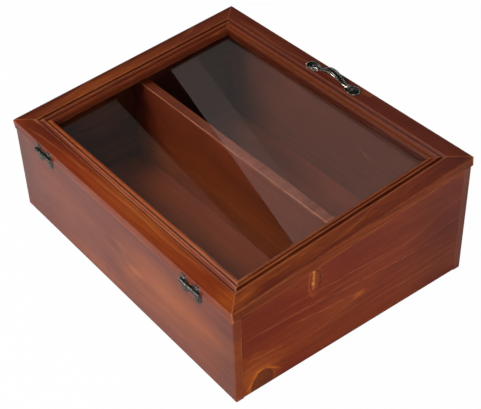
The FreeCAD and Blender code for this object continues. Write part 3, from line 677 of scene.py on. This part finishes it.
pine_board(
    "high_rail", "high_rail_pine", LONG_RAIL, (0.16, -0.11, 0.02), 0.006, 29.0,
    RED_RAIL_TONES, lines=0.25, wear=0.2, ior=1.25,
    crests=[
        (0.1351, 0.0008, PALE_PINE, 0.12),
        (0.1294, 0.0030, WARM_STAIN_AND_LIGHT, 0.2),
        (0.1246, 0.0030, AMBER, 0.5),
    ],
    sight=(SIGHT_HIGH, -1, 1.0),
)
pine_board(
    "left_rail", "left_rail_pine", SIDE_RAIL, (-0.21, -0.08, 0.03), 0.006, 31.0,
    MIDDLE_RAIL_TONES, lines=0.25, ior=1.3,
    patches=[(-0.04, -0.186, 0.10, 0.012, 0.35)],
    shades=[(0.0, -0.1985, 0.4, 0.006, 0.6)],
    crests=[(-0.1818, 0.0011, RUBBED_STAIN_AND_HIGHLIGHT, 0.2), (-0.1761, 0.0011, RUBBED_STAIN_AND_HIGHLIGHT, 0.15)],
    sight=(SIGHT_SIDE, 1, 0.5),
)
pine_board(
    "right_rail", "right_rail_pine", SIDE_RAIL, (0.16, -0.09, -0.02), 0.006, 37.0,
    SIDE_RAIL_TONES, ior=1.3,
    patches=[
        (-0.14, 0.190, 0.03, 0.012, 0.5),
        (-0.04, 0.19, 0.09, 0.008, 0.3),
        (0.0, 0.2008, 0.6, 0.002, 0.2),
        (-0.09, 0.180, 0.09, 0.014, 0.3),
    ],
    shades=[(0.15, 0.190, 0.04, 0.03, 0.5)],
    crests=[
        (0.1818, 0.0011, RUBBED_STAIN_AND_HIGHLIGHT, 0.55),
        (0.1761, 0.0011, RUBBED_STAIN_AND_HIGHLIGHT, 0.2),
        (0.1705, 0.0018, RUBBED_STAIN_AND_HIGHLIGHT, 0.3),
    ],
    sight=(-SIGHT_SIDE, -1, 0.7),
)
pine_board(
    "divider", "divider_pine", SIDE_BOARD, (0.02, 0.03, 0.03), 0.007, 41.0,
    # wear is strong here: the top's rubbed edges are partly a painted highlight
    INSIDE_TONES, lines=0.12, fibre=0.3, wear=1.6,
    # both patches are painted light low on the face
    patches=[(0.01, 0.035, 0.22, 0.045, 0.4), (-0.16, 0.020, 0.06, 0.04, 0.9)],
    streaks=[
        (-0.15, 0.05, 0.05, 0.035, 0.0012, LIGHT_LINE, 0.25),
        # the second streak is a painted sheen along the top
        (-0.10, DIVIDER_TOP, 0.30, DIVIDER_TOP, 0.006, ROSE, 0.8),
    ],
    # a painted highlight along the top's near edge, partly wear
    crests=[(DIVIDER_TOP - 0.8 * MM, 0.7 * MM, PALE_PINE, 0.8)],
)
pine_board(
    "bottom_panel", "floor_ply", LONG_RAIL, (0.02, 0.09, 0.03), 0.009, 43.0,
    FLOOR_TONES, lines=0.12, fibre=0.3,
    # painted light on the floor of the low bay
    patches=[
        (0.04, -0.09, 0.30, 0.07, 0.45),
        (-0.14, -0.03, 0.07, 0.04, 0.6),
        (0.03, -0.03, 0.16, 0.03, 0.4),
    ],
    # painted shade on the high bay's floor
    shades=[(-0.08, 0.115, 0.09, 0.05, 0.55)],
)
STRIP_PINE = stained_pine(
    "strip_pine", LONG_RAIL, (0.0, 0.05, 0.02), 0.006, 47.0, STRIP_AND_SHADE_TONES,
    lines=0.2, wear=0.1,
)
for side in ("low", "high", "left", "right"):
    dress(f"{side}_strip", STRIP_PINE)


# ---- glass ---------------------------------------------------------------

GLASS_IOR = 1.5


def clear_glass():
    """Plain window glass that lets lamp light through to the boards below."""
    material, tree = new_material("clear_glass")
    finish = {
        "Base Color": (0.985, 0.995, 0.99, 1),
        "Roughness": 0.0,
        "IOR": GLASS_IOR,
        "Transmission Weight": 1.0,
    }
    glass = add(tree, "BsdfPrincipled", finish).outputs[0]
    passed = minus(tree, 1.0, add(tree, "Fresnel", {"IOR": GLASS_IOR}).outputs[0])
    grey = add(tree, "CombineColor", {"Red": passed, "Green": passed, "Blue": passed})
    open_way = add(tree, "BsdfTransparent", {"Color": grey.outputs[0]}).outputs[0]
    shadow = add(tree, "LightPath").outputs["Is Shadow Ray"]
    finish_material(tree, add(tree, "MixShader", {0: shadow, 1: glass, 2: open_way}))
    return material


dress("glass_pane", clear_glass())


# ---- metal ---------------------------------------------------------------

SOOT = (0.004, 0.004, 0.003)
CASTING_PITS, PIT_DEPTH = 0.25, 0.1 * MM
# the rubbed colour is strongest before the front line, on the near side: wear
# and a painted highlight; the change takes this far on either side of it, and
# this share of the wear is left behind it
FRONT_REACH = 2 * MM
WEAR_BEHIND = 0.15


def cast_metal(name, dark, bright, rubbed, roughness, seed, wear, width=0.5, front=None):
    """Antiqued metal: dark in its hollows, rubbed bright on its edges (width
    in millimetres), and brightest before the line y = front, where the rub is
    also a painted highlight along the near side."""
    material, tree = new_material(name)
    place = object_place(tree)
    edges = placed(tree, EDGE_WEAR_AND_CREASE_SHADE, width=width * MM, seed=seed)
    mottle = fade(tree, noise(tree, place, 420.0, 4.0, 0.6), 0.35, 0.65)
    colour = blend(tree, mottle, (*dark, 1), (*bright, 1))
    rub_and_highlight = times(tree, edges["Wear"], wear)
    if front is not None:
        depth = part_of(tree, place, "Y")
        before = fade(tree, depth, front + FRONT_REACH, front - FRONT_REACH)
        rub_and_highlight = times(tree, rub_and_highlight, times_plus(tree, before, 1 - WEAR_BEHIND, WEAR_BEHIND))
    colour = blend(tree, rub_and_highlight, colour, (*rubbed, 1))
    colour = blend(tree, edges["Grime"], colour, (*SOOT, 1))
    rough = times_plus(tree, mottle, 0.14, roughness)
    pits = noise(tree, place, 1900.0, 3.0, 0.6)
    relief = {"Strength": CASTING_PITS, "Distance": PIT_DEPTH, "Height": pits}
    bump = add(tree, "Bump", relief).outputs[0]
    finish = {"Base Color": colour, "Roughness": rough, "Metallic": 1.0, "Normal": bump}
    finish_material(tree, add(tree, "BsdfPrincipled", finish))
    return material


BRONZE = cast_metal(
    "antique_bronze", (0.016, 0.018, 0.016), (0.045, 0.046, 0.038), (0.85, 0.79, 0.68),
    0.24, 5.0, 1.4, width=0.6, front=HANDLE_MIDDLE - 2.5 * MM,
)
HANDLED_BRONZE = cast_metal(
    "handled_bronze", (0.035, 0.034, 0.030), (0.11, 0.104, 0.09), (0.72, 0.67, 0.58),
    0.26, 15.0, 1.4, width=0.6, front=HANDLE_MIDDLE - 1.5 * MM,
)
WORN_BRONZE = cast_metal(
    "worn_bronze", (0.045, 0.043, 0.038), (0.13, 0.122, 0.108), (0.75, 0.72, 0.64),
    0.30, 9.0, 0.55,
)
RUBBED_BRONZE = cast_metal(
    "rubbed_bronze", (0.06, 0.058, 0.05), (0.26, 0.24, 0.20), (0.95, 0.88, 0.76),
    0.22, 21.0, 1.4, front=HANDLE_MIDDLE - 1 * MM,
)
BRAD_STEEL = cast_metal(
    "brad_steel", (0.10, 0.09, 0.08), (0.2, 0.19, 0.18), (0.4, 0.4, 0.4), 0.4, 13.0, 0.3
)
# brads that show are punched below the surface, filled and stained over
FILLED_BRADS = stained_pine(
    "brad_filler", LONG_RAIL, (0.0, 0.05, 0.02), 0.006, 53.0, PANEL_TONES,
    lines=0, wear=0,
)

for side in ("left", "right"):
    dress(f"{side}_case_leaf", WORN_BRONZE)
    dress(f"{side}_lid_leaf", WORN_BRONZE)
    dress(f"{side}_hinge_pin", BRAD_STEEL)
for brads in ("corner_brads", "mitre_brads"):
    dress(brads, FILLED_BRADS)
for brads in ("bottom_brads", "strip_pins"):
    dress(brads, BRAD_STEEL)


# ---- fittings made by hand -----------------------------------------------

# the lid's own frame: X along the hinge, Y up the slope, Z off the boards
LID_CORNER = (0, -154 * MM, 107.9 * MM)
LID_THICKNESS = 12 * MM
LID_PLACE = Matrix.Translation(LID_CORNER) @ Matrix.Rotation(SLOPE, 4, "X")
# corners nearer than this are in one place
HAIR = 0.01 * MM
SMOOTH_ANGLE = radians(40)


def start_mesh(name):
    """Name the primitive just added and open it for editing."""
    piece = bpy.context.object
    piece.name = name
    bpy.ops.object.mode_set(mode="EDIT")
    return piece


def corners_of(piece):
    """In edit mode, where the vertices are, in their order."""
    return [vertex.co.copy() for vertex in bmesh.from_edit_mesh(piece.data).verts]


def pick_all():
    bpy.ops.mesh.select_all(action="SELECT")


def pick(test):
    """In edit mode, select the vertices for which test(place) is true."""
    bpy.ops.mesh.select_all(action="DESELECT")
    mesh = bmesh.from_edit_mesh(bpy.context.object.data)
    for vertex in mesh.verts:
        vertex.select = test(vertex.co)
    mesh.select_flush_mode()
    bmesh.update_edit_mesh(bpy.context.object.data)


def resize(value, centre):
    bpy.ops.transform.resize(value=value, center_override=centre)


def extrude_ring(move):
    """Carry the selected ring of edges on to the next section."""
    bpy.ops.mesh.extrude_edges_move(TRANSFORM_OT_translate={"value": move})


def sink_face(depth):
    """Push the selected face down along Z, with new walls round it."""
    bpy.ops.mesh.extrude_region_move(TRANSFORM_OT_translate={"value": (0, 0, -depth)})


def finish_mesh():
    """Close the edit, with every face pointing outwards."""
    pick_all()
    bpy.ops.mesh.remove_doubles(threshold=HAIR)
    bpy.ops.mesh.normals_make_consistent(inside=False)
    bpy.ops.object.mode_set(mode="OBJECT")


def apply_modifier(piece, kind, **settings):
    """Change the mesh for good by one modifier."""
    modifier = piece.modifiers.new(kind.title(), kind)
    for name, value in settings.items():
        setattr(modifier, name, value)
    bpy.context.view_layer.objects.active = piece
    bpy.ops.object.modifier_apply(modifier=modifier.name)


def own_copy(piece, matrix, name):
    """A copy with its own mesh, put in its place."""
    copy = piece.copy()
    copy.data = piece.data.copy()
    copy.name = name
    copy.data.transform(matrix)
    bpy.context.collection.objects.link(copy)
    return copy


def select_only(pieces):
    bpy.ops.object.select_all(action="DESELECT")
    for piece in pieces:
        piece.select_set(True)
    bpy.context.view_layer.objects.active = pieces[0]


def join(name, pieces):
    """Make one piece of several."""
    select_only(pieces)
    bpy.ops.object.join()
    pieces[0].name = name
    return pieces[0]


def hand_in(piece, node, body, material):
    """Put a finished piece in the frame in place of the plain solid. With no
    material here, it keeps the finishes it was made in."""
    select_only([piece])
    bpy.ops.object.shade_smooth_by_angle(angle=SMOOTH_ANGLE)
    if material:
        piece.data.materials.clear()
        piece.data.materials.append(material)
    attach(piece, body)
    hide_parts(node)


# the handle is made flat over the origin: X along the rail, Z off the wood
HANDLE_UP_SLOPE = 298.66 * MM
HANDLE_PLACE = LID_PLACE @ Matrix.Translation((0, HANDLE_UP_SLOPE, LID_THICKNESS))
SHELL_CENTRE = 35.4 * MM
SHELL_RADIUS = 6.4 * MM
SHELL_STRETCH = 2.3
NECK = Vector((22 * MM, 0, 0))
RIM_HEIGHT = 0.5 * MM
FLUTES = 24
FLUTE_NARROWING, FLUTE_DROP = 0.92, 0.3 * MM
# each layer of the shell is drawn in towards the neck and lifted
SHELL_LAYERS = [(0.93, 0.40), (0.86, 0.35), (0.80, 0.30), (0.70, 0.30), (0.55, 0.30), (0.50, 0.20)]
BEAD_RADIUS, BEAD_FLATNESS = 0.85 * MM, 0.85
BEAD_HEIGHT, BEAD_SPACING = 0.7 * MM, 2.05 * MM
# the bow, from its top down to its tongue on the shell: along, height and
# half width in millimetres
BOW_LINE = [
    (0.0, 9.7, 4.9), (3.5, 9.5, 4.9), (7.0, 8.7, 4.7), (10.5, 7.3, 4.3),
    (13.5, 5.6, 3.8), (16.0, 4.1, 3.3), (18.5, 2.9, 2.9), (21.0, 2.1, 2.8),
    (24.0, 1.6, 2.7), (26.5, 1.3, 2.2), (28.5, 1.1, 1.5), (30.0, 0.9, 0.6),
]
BOW_FLATNESS = 0.43
STRANDS, STRAND_NARROWING = 8, 0.72


def shell_foot():
    """A fan shell: flutes run from the neck out to a scalloped rim."""
    centre = (SHELL_CENTRE, 0, 0)
    bpy.ops.mesh.primitive_circle_add(vertices=2 * FLUTES, radius=SHELL_RADIUS, location=centre)
    bpy.ops.object.transform_apply(location=True)
    foot = start_mesh("shell_foot")
    foot.data.materials.append(BRONZE)
    sunk = corners_of(foot)[1::2]

    def in_flute(place):
        return min((place.xy - corner.xy).length for corner in sunk) < HAIR

    pick_all()
    extrude_ring((0, 0, RIM_HEIGHT))
    # every second corner of the rim is sunk, which makes the flutes
    pick(lambda place: place.z > HAIR and in_flute(place))
    resize((FLUTE_NARROWING, FLUTE_NARROWING, 1), centre)
    bpy.ops.transform.translate(value=(0, 0, -FLUTE_DROP))
    # the back of the rim is drawn out towards the neck
    pick(lambda place: place.x < SHELL_CENTRE - HAIR)
    resize((SHELL_STRETCH, 1, 1), centre)
    pick(lambda place: place.z > HAIR)
    for narrow, rise in SHELL_LAYERS:
        extrude_ring((0, 0, rise * MM))
        resize((narrow, narrow, 1), NECK)
    bpy.ops.mesh.edge_face_add()
    pick(lambda place: place.z < HAIR)
    bpy.ops.mesh.edge_face_add()
    finish_mesh()
    apply_modifier(foot, "SUBSURF", levels=1, render_levels=1)
    return foot


def rim_beads(foot):
    """Beads set evenly round the rim, from the tip back to the neck."""
    bpy.ops.mesh.primitive_ico_sphere_add(subdivisions=2, radius=BEAD_RADIUS, location=(0, 0, 0))
    bead = start_mesh("bead")
    resize((1, 1, BEAD_FLATNESS), (0, 0, 0))
    finish_mesh()
    bead.data.materials.append(RUBBED_BRONZE)
    beads = []
    angle = 0.0
    while True:
        length = SHELL_RADIUS * (SHELL_STRETCH if cos(angle) < 0 else 1)
        across = SHELL_RADIUS * sin(angle)
        place = Vector((SHELL_CENTRE + length * cos(angle), across, BEAD_HEIGHT))
        if place.x < NECK.x:
            break
        beads.append(own_copy(bead, Matrix.Translation(place), "bead"))
        if angle > 0:
            place.y = -across
            beads.append(own_copy(bead, Matrix.Translation(place), "bead"))
        angle += BEAD_SPACING / hypot(length * sin(angle), SHELL_RADIUS * cos(angle))
    bpy.data.objects.remove(bead)
    return join("shell_foot", [foot] + beads)


def fluted_bow():
    """A fluted bar that rises from one shell, arches over and lands on the
    other: one ring of corners carried along the line."""
    line = [(-x, z, width) for x, z, width in reversed(BOW_LINE)] + BOW_LINE[1:]
    line = [(x * MM, z * MM, width * MM) for x, z, width in line]
    x, z, width = line[0]
    bpy.ops.mesh.primitive_circle_add(vertices=3 * STRANDS, radius=width, rotation=(0, pi / 2, 0))
    bpy.ops.object.transform_apply(rotation=True)
    bow = start_mesh("bow")
    bow.data.materials.append(HANDLED_BRONZE)
    # every third corner is sunk, between two strands
    sunk = corners_of(bow)[1::3]
    pick(lambda place: min((place - corner).length for corner in sunk) < HAIR)
    resize((1, STRAND_NARROWING, STRAND_NARROWING), (0, 0, 0))
    pick_all()
    resize((1, 1, BOW_FLATNESS), (0, 0, 0))
    bpy.ops.transform.translate(value=(x, 0, z))
    bpy.ops.mesh.edge_face_add()
    pick_all()
    depth = width
    for number, (next_x, next_z, next_width) in enumerate(line[1:], start=1):
        after = line[min(number + 1, len(line) - 1)]
        slope = atan2(after[1] - z, after[0] - x)
        next_depth = next_width / cos(slope)
        extrude_ring((next_x - x, 0, next_z - z))
        resize((1, next_width / width, next_depth / depth), (next_x, 0, next_z))
        x, z, width, depth = next_x, next_z, next_width, next_depth
    bpy.ops.mesh.edge_face_add()
    finish_mesh()
    apply_modifier(bow, "SUBSURF", levels=2, render_levels=2)
    return bow


def handle():
    """The bow and its two shells, joined and put on the high rail."""
    foot = rim_beads(shell_foot())
    other = own_copy(foot, Matrix.Rotation(pi, 4, "Z"), "other_foot")
    whole = join("shell_handle", [fluted_bow(), foot, other])
    whole.data.transform(HANDLE_PLACE)
    return whole


# a screw is made with its head's underside on the origin, head towards +Z
HEAD_RADIUS, HEAD_HEIGHT = 1.9 * MM, 0.8 * MM
HEAD_ROUNDING = 0.45 * MM
SHANK_RADIUS, SHANK_LENGTH = 1.0 * MM, 8 * MM
# how much of the shank is its tip, and how wide that ends
TIP_SHARE, TIP_WIDTH = 0.2, 0.15
SLOT_WIDTH, SLOT_DEPTH = 0.5 * MM, 0.45 * MM
# in head radii
SLOT_LENGTH = 1.4
# degrees by which the first screw is turned, and each next one further
FIRST_TURN, NEXT_TURN = 31, 47


def slotted_screw():
    """A small round-topped wood screw with a cross cut in its head."""
    bpy.ops.mesh.primitive_cylinder_add(
        vertices=24, radius=HEAD_RADIUS, depth=HEAD_HEIGHT, location=(0, 0, 0)
    )
    screw = start_mesh("wood_screw")
    bpy.ops.transform.translate(value=(0, 0, HEAD_HEIGHT / 2))
    pick(lambda place: place.z > HEAD_HEIGHT / 2)
    bpy.ops.mesh.bevel(offset=HEAD_ROUNDING, segments=3, profile=0.5, affect="EDGES")
    pick(lambda place: place.z < HAIR)
    bpy.ops.mesh.inset(thickness=HEAD_RADIUS - SHANK_RADIUS)
    sink_face((1 - TIP_SHARE) * SHANK_LENGTH)
    sink_face(TIP_SHARE * SHANK_LENGTH)
    resize((TIP_WIDTH, TIP_WIDTH, 1), (0, 0, -SHANK_LENGTH))
    finish_mesh()
    for turn in (0, pi / 2):
        bpy.ops.mesh.primitive_cube_add(size=1, location=(0, 0, HEAD_HEIGHT))
        cutter = bpy.context.object
        cutter.scale = (SLOT_LENGTH * HEAD_RADIUS, SLOT_WIDTH, 2 * SLOT_DEPTH)
        cutter.rotation_euler.z = turn
        bpy.context.view_layer.update()
        apply_modifier(screw, "BOOLEAN", operation="DIFFERENCE", object=cutter, solver="EXACT")
        bpy.data.objects.remove(cutter)
    return screw


def screw_set(name, screw, places):
    """Copies of the screw, each with its slots turned another way."""
    copies = []
    for number, place in enumerate(places):
        turn = Matrix.Rotation(radians(FIRST_TURN + NEXT_TURN * number), 4, "Z")
        copies.append(own_copy(screw, place @ turn, name))
    return join(name, copies)


HEAD_TO_FRONT = Matrix.Rotation(pi / 2, 4, "X")
# to either side of a hinge's middle, and of the handle's
HINGE_SPREAD, SHELL_SPREAD = 10.5 * MM, 32 * MM
# what the heads lie on: the case leaves (y, z), and in the lid's own frame
# the lid leaves (y, z) and the shells (z above the wood)
CASE_LEAF_FRONT = (-154.8 * MM, 99.2 * MM)
LID_LEAF_FRONT = (-1.1 * MM, 5.44 * MM)
SHELL_TOP = 1.4 * MM

HINGE_COLUMNS = [
    (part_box(f"{side}_case_leaf")[0].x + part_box(f"{side}_case_leaf")[1].x) / 2 + spread
    for side in ("left", "right")
    for spread in (-HINGE_SPREAD, HINGE_SPREAD)
]
CASE_SCREWS = [
    Matrix.Translation((x, *CASE_LEAF_FRONT)) @ HEAD_TO_FRONT for x in HINGE_COLUMNS
]
LID_SCREWS = [
    LID_PLACE @ Matrix.Translation((x, *LID_LEAF_FRONT)) @ HEAD_TO_FRONT
    for x in HINGE_COLUMNS
]
HANDLE_SCREWS = [
    HANDLE_PLACE @ Matrix.Translation((x, 0, SHELL_TOP)) for x in (-SHELL_SPREAD, SHELL_SPREAD)
]

bpy.ops.object.select_all(action="DESELECT")
hand_in(handle(), "handle", "lid", None)
SCREW = slotted_screw()
for name, node, body, places in (
    ("lower_hinge_screws", "case_leaf_screws", "case", CASE_SCREWS),
    ("upper_hinge_screws", "lid_leaf_screws", "lid", LID_SCREWS),
    ("shell_screws", "handle_screws", "lid", HANDLE_SCREWS),
):
    hand_in(screw_set(name, SCREW, places), node, body, WORN_BRONZE)
bpy.data.objects.remove(SCREW)


# ---- the studio ----------------------------------------------------------

WHITE = (1, 1, 1, 1)
FLOOR_SIZE, FLOOR_HEIGHT = 12, -0.3 * MM
PAPER = (0.58, 0.58, 0.58, 1)
# how plain white the camera sees the floor; the rest keeps the shadow
FLOOR_WHITE = 0.985
WORLD_LIGHT = 0.14


def studio_floor():
    """A pale floor that keeps a soft shadow."""
    bpy.ops.mesh.primitive_plane_add(size=FLOOR_SIZE, location=(0, 0, FLOOR_HEIGHT))
    floor = bpy.context.object
    floor.name = "studio_floor"
    material, tree = new_material("pale_floor")
    paper = add(tree, "BsdfDiffuse", {"Color": PAPER}).outputs[0]
    white = add(tree, "Emission", {"Color": WHITE, "Strength": 1.0}).outputs[0]
    rays = add(tree, "LightPath").outputs
    amount = times(tree, rays["Is Camera Ray"], FLOOR_WHITE)
    finish_material(tree, add(tree, "MixShader", {0: amount, 1: paper, 2: white}))
    floor.data.materials.append(material)


def studio_world():
    """White to the eye, to glass and to metal; soft and dim as a lamp."""
    world = bpy.data.worlds.new("studio")
    world.use_nodes = True
    tree = world.node_tree
    tree.nodes.clear()
    soft = add(tree, "Background", {"Color": WHITE, "Strength": WORLD_LIGHT}).outputs[0]
    white = add(tree, "Background", {"Color": WHITE, "Strength": 1.0}).outputs[0]
    rays = add(tree, "LightPath").outputs
    seen = maths(tree, "MAXIMUM", rays["Is Camera Ray"], rays["Is Glossy Ray"])
    mix = add(tree, "MixShader", {0: seen, 1: soft, 2: white})
    output = tree.nodes.new("ShaderNodeOutputWorld")
    tree.links.new(mix.outputs[0], output.inputs["Surface"])
    bpy.context.scene.world = world


def reflected_card(name, corners, height, glow, far_glow, colour=WHITE):
    """A flat card that is only seen mirrored in glass and lacquer. Its glow
    changes from its first corner to its second."""
    bpy.ops.mesh.primitive_plane_add(size=2)
    card = bpy.context.object
    card.name = name
    for corner, (x, y) in zip(card.data.vertices, corners):
        corner.co = (x, y, height)
    material, tree = new_material(name)
    (x_start, y_start), (x_end, y_end) = corners[:2]
    run = Vector((x_end - x_start, y_end - y_start, 0))
    start = (x_start, y_start, 0)
    from_start = vector_maths(tree, "SUBTRACT", object_place(tree), start)
    share = vector_maths(tree, "DOT_PRODUCT", from_start, tuple(run / run.length_squared))
    glows = {"Value": share, "To Min": glow, "To Max": far_glow}
    strength = add(tree, "MapRange", glows).outputs[0]
    finish_material(tree, add(tree, "Emission", {"Color": colour, "Strength": strength}))
    card.data.materials.append(material)
    card.visible_camera = False
    card.visible_diffuse = False
    card.visible_shadow = False
    card.visible_volume_scatter = False


def oblong(x_start, y_start, x_end, y_end):
    """Corners of a card that lies square to the case."""
    return [(x_start, y_start), (x_end, y_start), (x_start, y_end), (x_end, y_end)]


def strip(start, end, width_before, width_after):
    """Corners of a four-sided card along the line from start to end, so far
    out on either side of it."""
    run = (Vector(end) - Vector(start)).normalized()
    side = Vector((-run.y, run.x))
    return [
        Vector(start) - side * width_before,
        Vector(end) - side * width_before,
        Vector(start) + side * width_after,
        Vector(end) + side * width_after,
    ]


def soft_box(name, place, target, width, height, watts):
    """A soft white area lamp at place, facing target."""
    bpy.ops.object.light_add(type="AREA", location=place)
    lamp = bpy.context.object
    lamp.name = name
    lamp.data.shape = "RECTANGLE"
    lamp.data.size = width
    lamp.data.size_y = height
    lamp.data.energy = watts
    towards = Vector(target) - Vector(place)
    lamp.rotation_euler = towards.to_track_quat("-Z", "Y").to_euler()


CAMERA_PLACE = (0.8057, -0.5892, 0.8559)
AZIMUTH, ELEVATION, ROLL = radians(53.45), radians(39.21), radians(-2.07)
LENS, SENSOR, FARTHEST = 86.5, 36, 50


def camera():
    """A short telephoto view from above the near right corner."""
    level = cos(ELEVATION)
    forward = Vector((-sin(AZIMUTH) * level, cos(AZIMUTH) * level, -sin(ELEVATION)))
    turn = forward.to_track_quat("-Z", "Y").to_matrix() @ Matrix.Rotation(ROLL, 3, "Z")
    bpy.ops.object.camera_add(location=CAMERA_PLACE, rotation=turn.to_euler())
    eye = bpy.context.object
    eye.name = "camera"
    eye.data.lens = LENS
    eye.data.sensor_width = SENSOR
    eye.data.clip_end = FARTHEST
    bpy.context.scene.camera = eye


bpy.ops.object.select_all(action="DESELECT")
studio_floor()
studio_world()
soft_box("key_light", (-0.75, -1.9, 1.75), (0, 0, 0.05), 1.2, 1.2, 80)
soft_box("right_fill", (2.4, -0.5, 0.32), (0, 0, 0.06), 1.2, 0.5, 42)
soft_box("back_fill", (-0.9, 2.3, 0.5), (0, 0, 0.06), 1.2, 0.6, 18)

# over the case: a dark ceiling, a long strip light, and two dim pale walls
CEILING, HANGING = 2.2, 1.9
BLUSH, ROSY = (1.0, 0.88, 0.84, 1), (1.0, 0.83, 0.78, 1)
reflected_card("dark_ceiling", oblong(-12, -12, 12, 12), CEILING, 0.004, 0.004)
for name, corners, glow, far_glow, colour in (
    ("strip_light", strip((-2.9, 1.20), (-0.6, 0.63), 0, 0.107), 0.19, 0.62, ROSY),
    ("far_wall", strip((-2.9, 1.31), (-0.6, 0.74), 0, 2.0), 0.14, 0.40, BLUSH),
    ("near_wall", strip((-2.9, 0.87), (-0.6, 0.622), 2.0, 0), 0.12, 0.12, BLUSH),
):
    reflected_card(name, corners, HANGING, glow, far_glow, colour)
# before the case: the pale floor that the low wall mirrors; and the floor
# beside it that the right end mirrors, darker near the corner
ON_FLOOR = 1 * MM
BESIDE_CASE = [(0.203, -0.16), (0.203, 0.3), (1.5, -0.16), (1.5, 0.3)]
reflected_card("front_floor", oblong(-0.6, -3, 0.3, -0.17), ON_FLOOR, 0.86, 0.47)
reflected_card("side_floor", BESIDE_CASE, ON_FLOOR, 0.02, 0.3)
camera()
bpy.context.scene.view_settings.view_transform = "Standard"
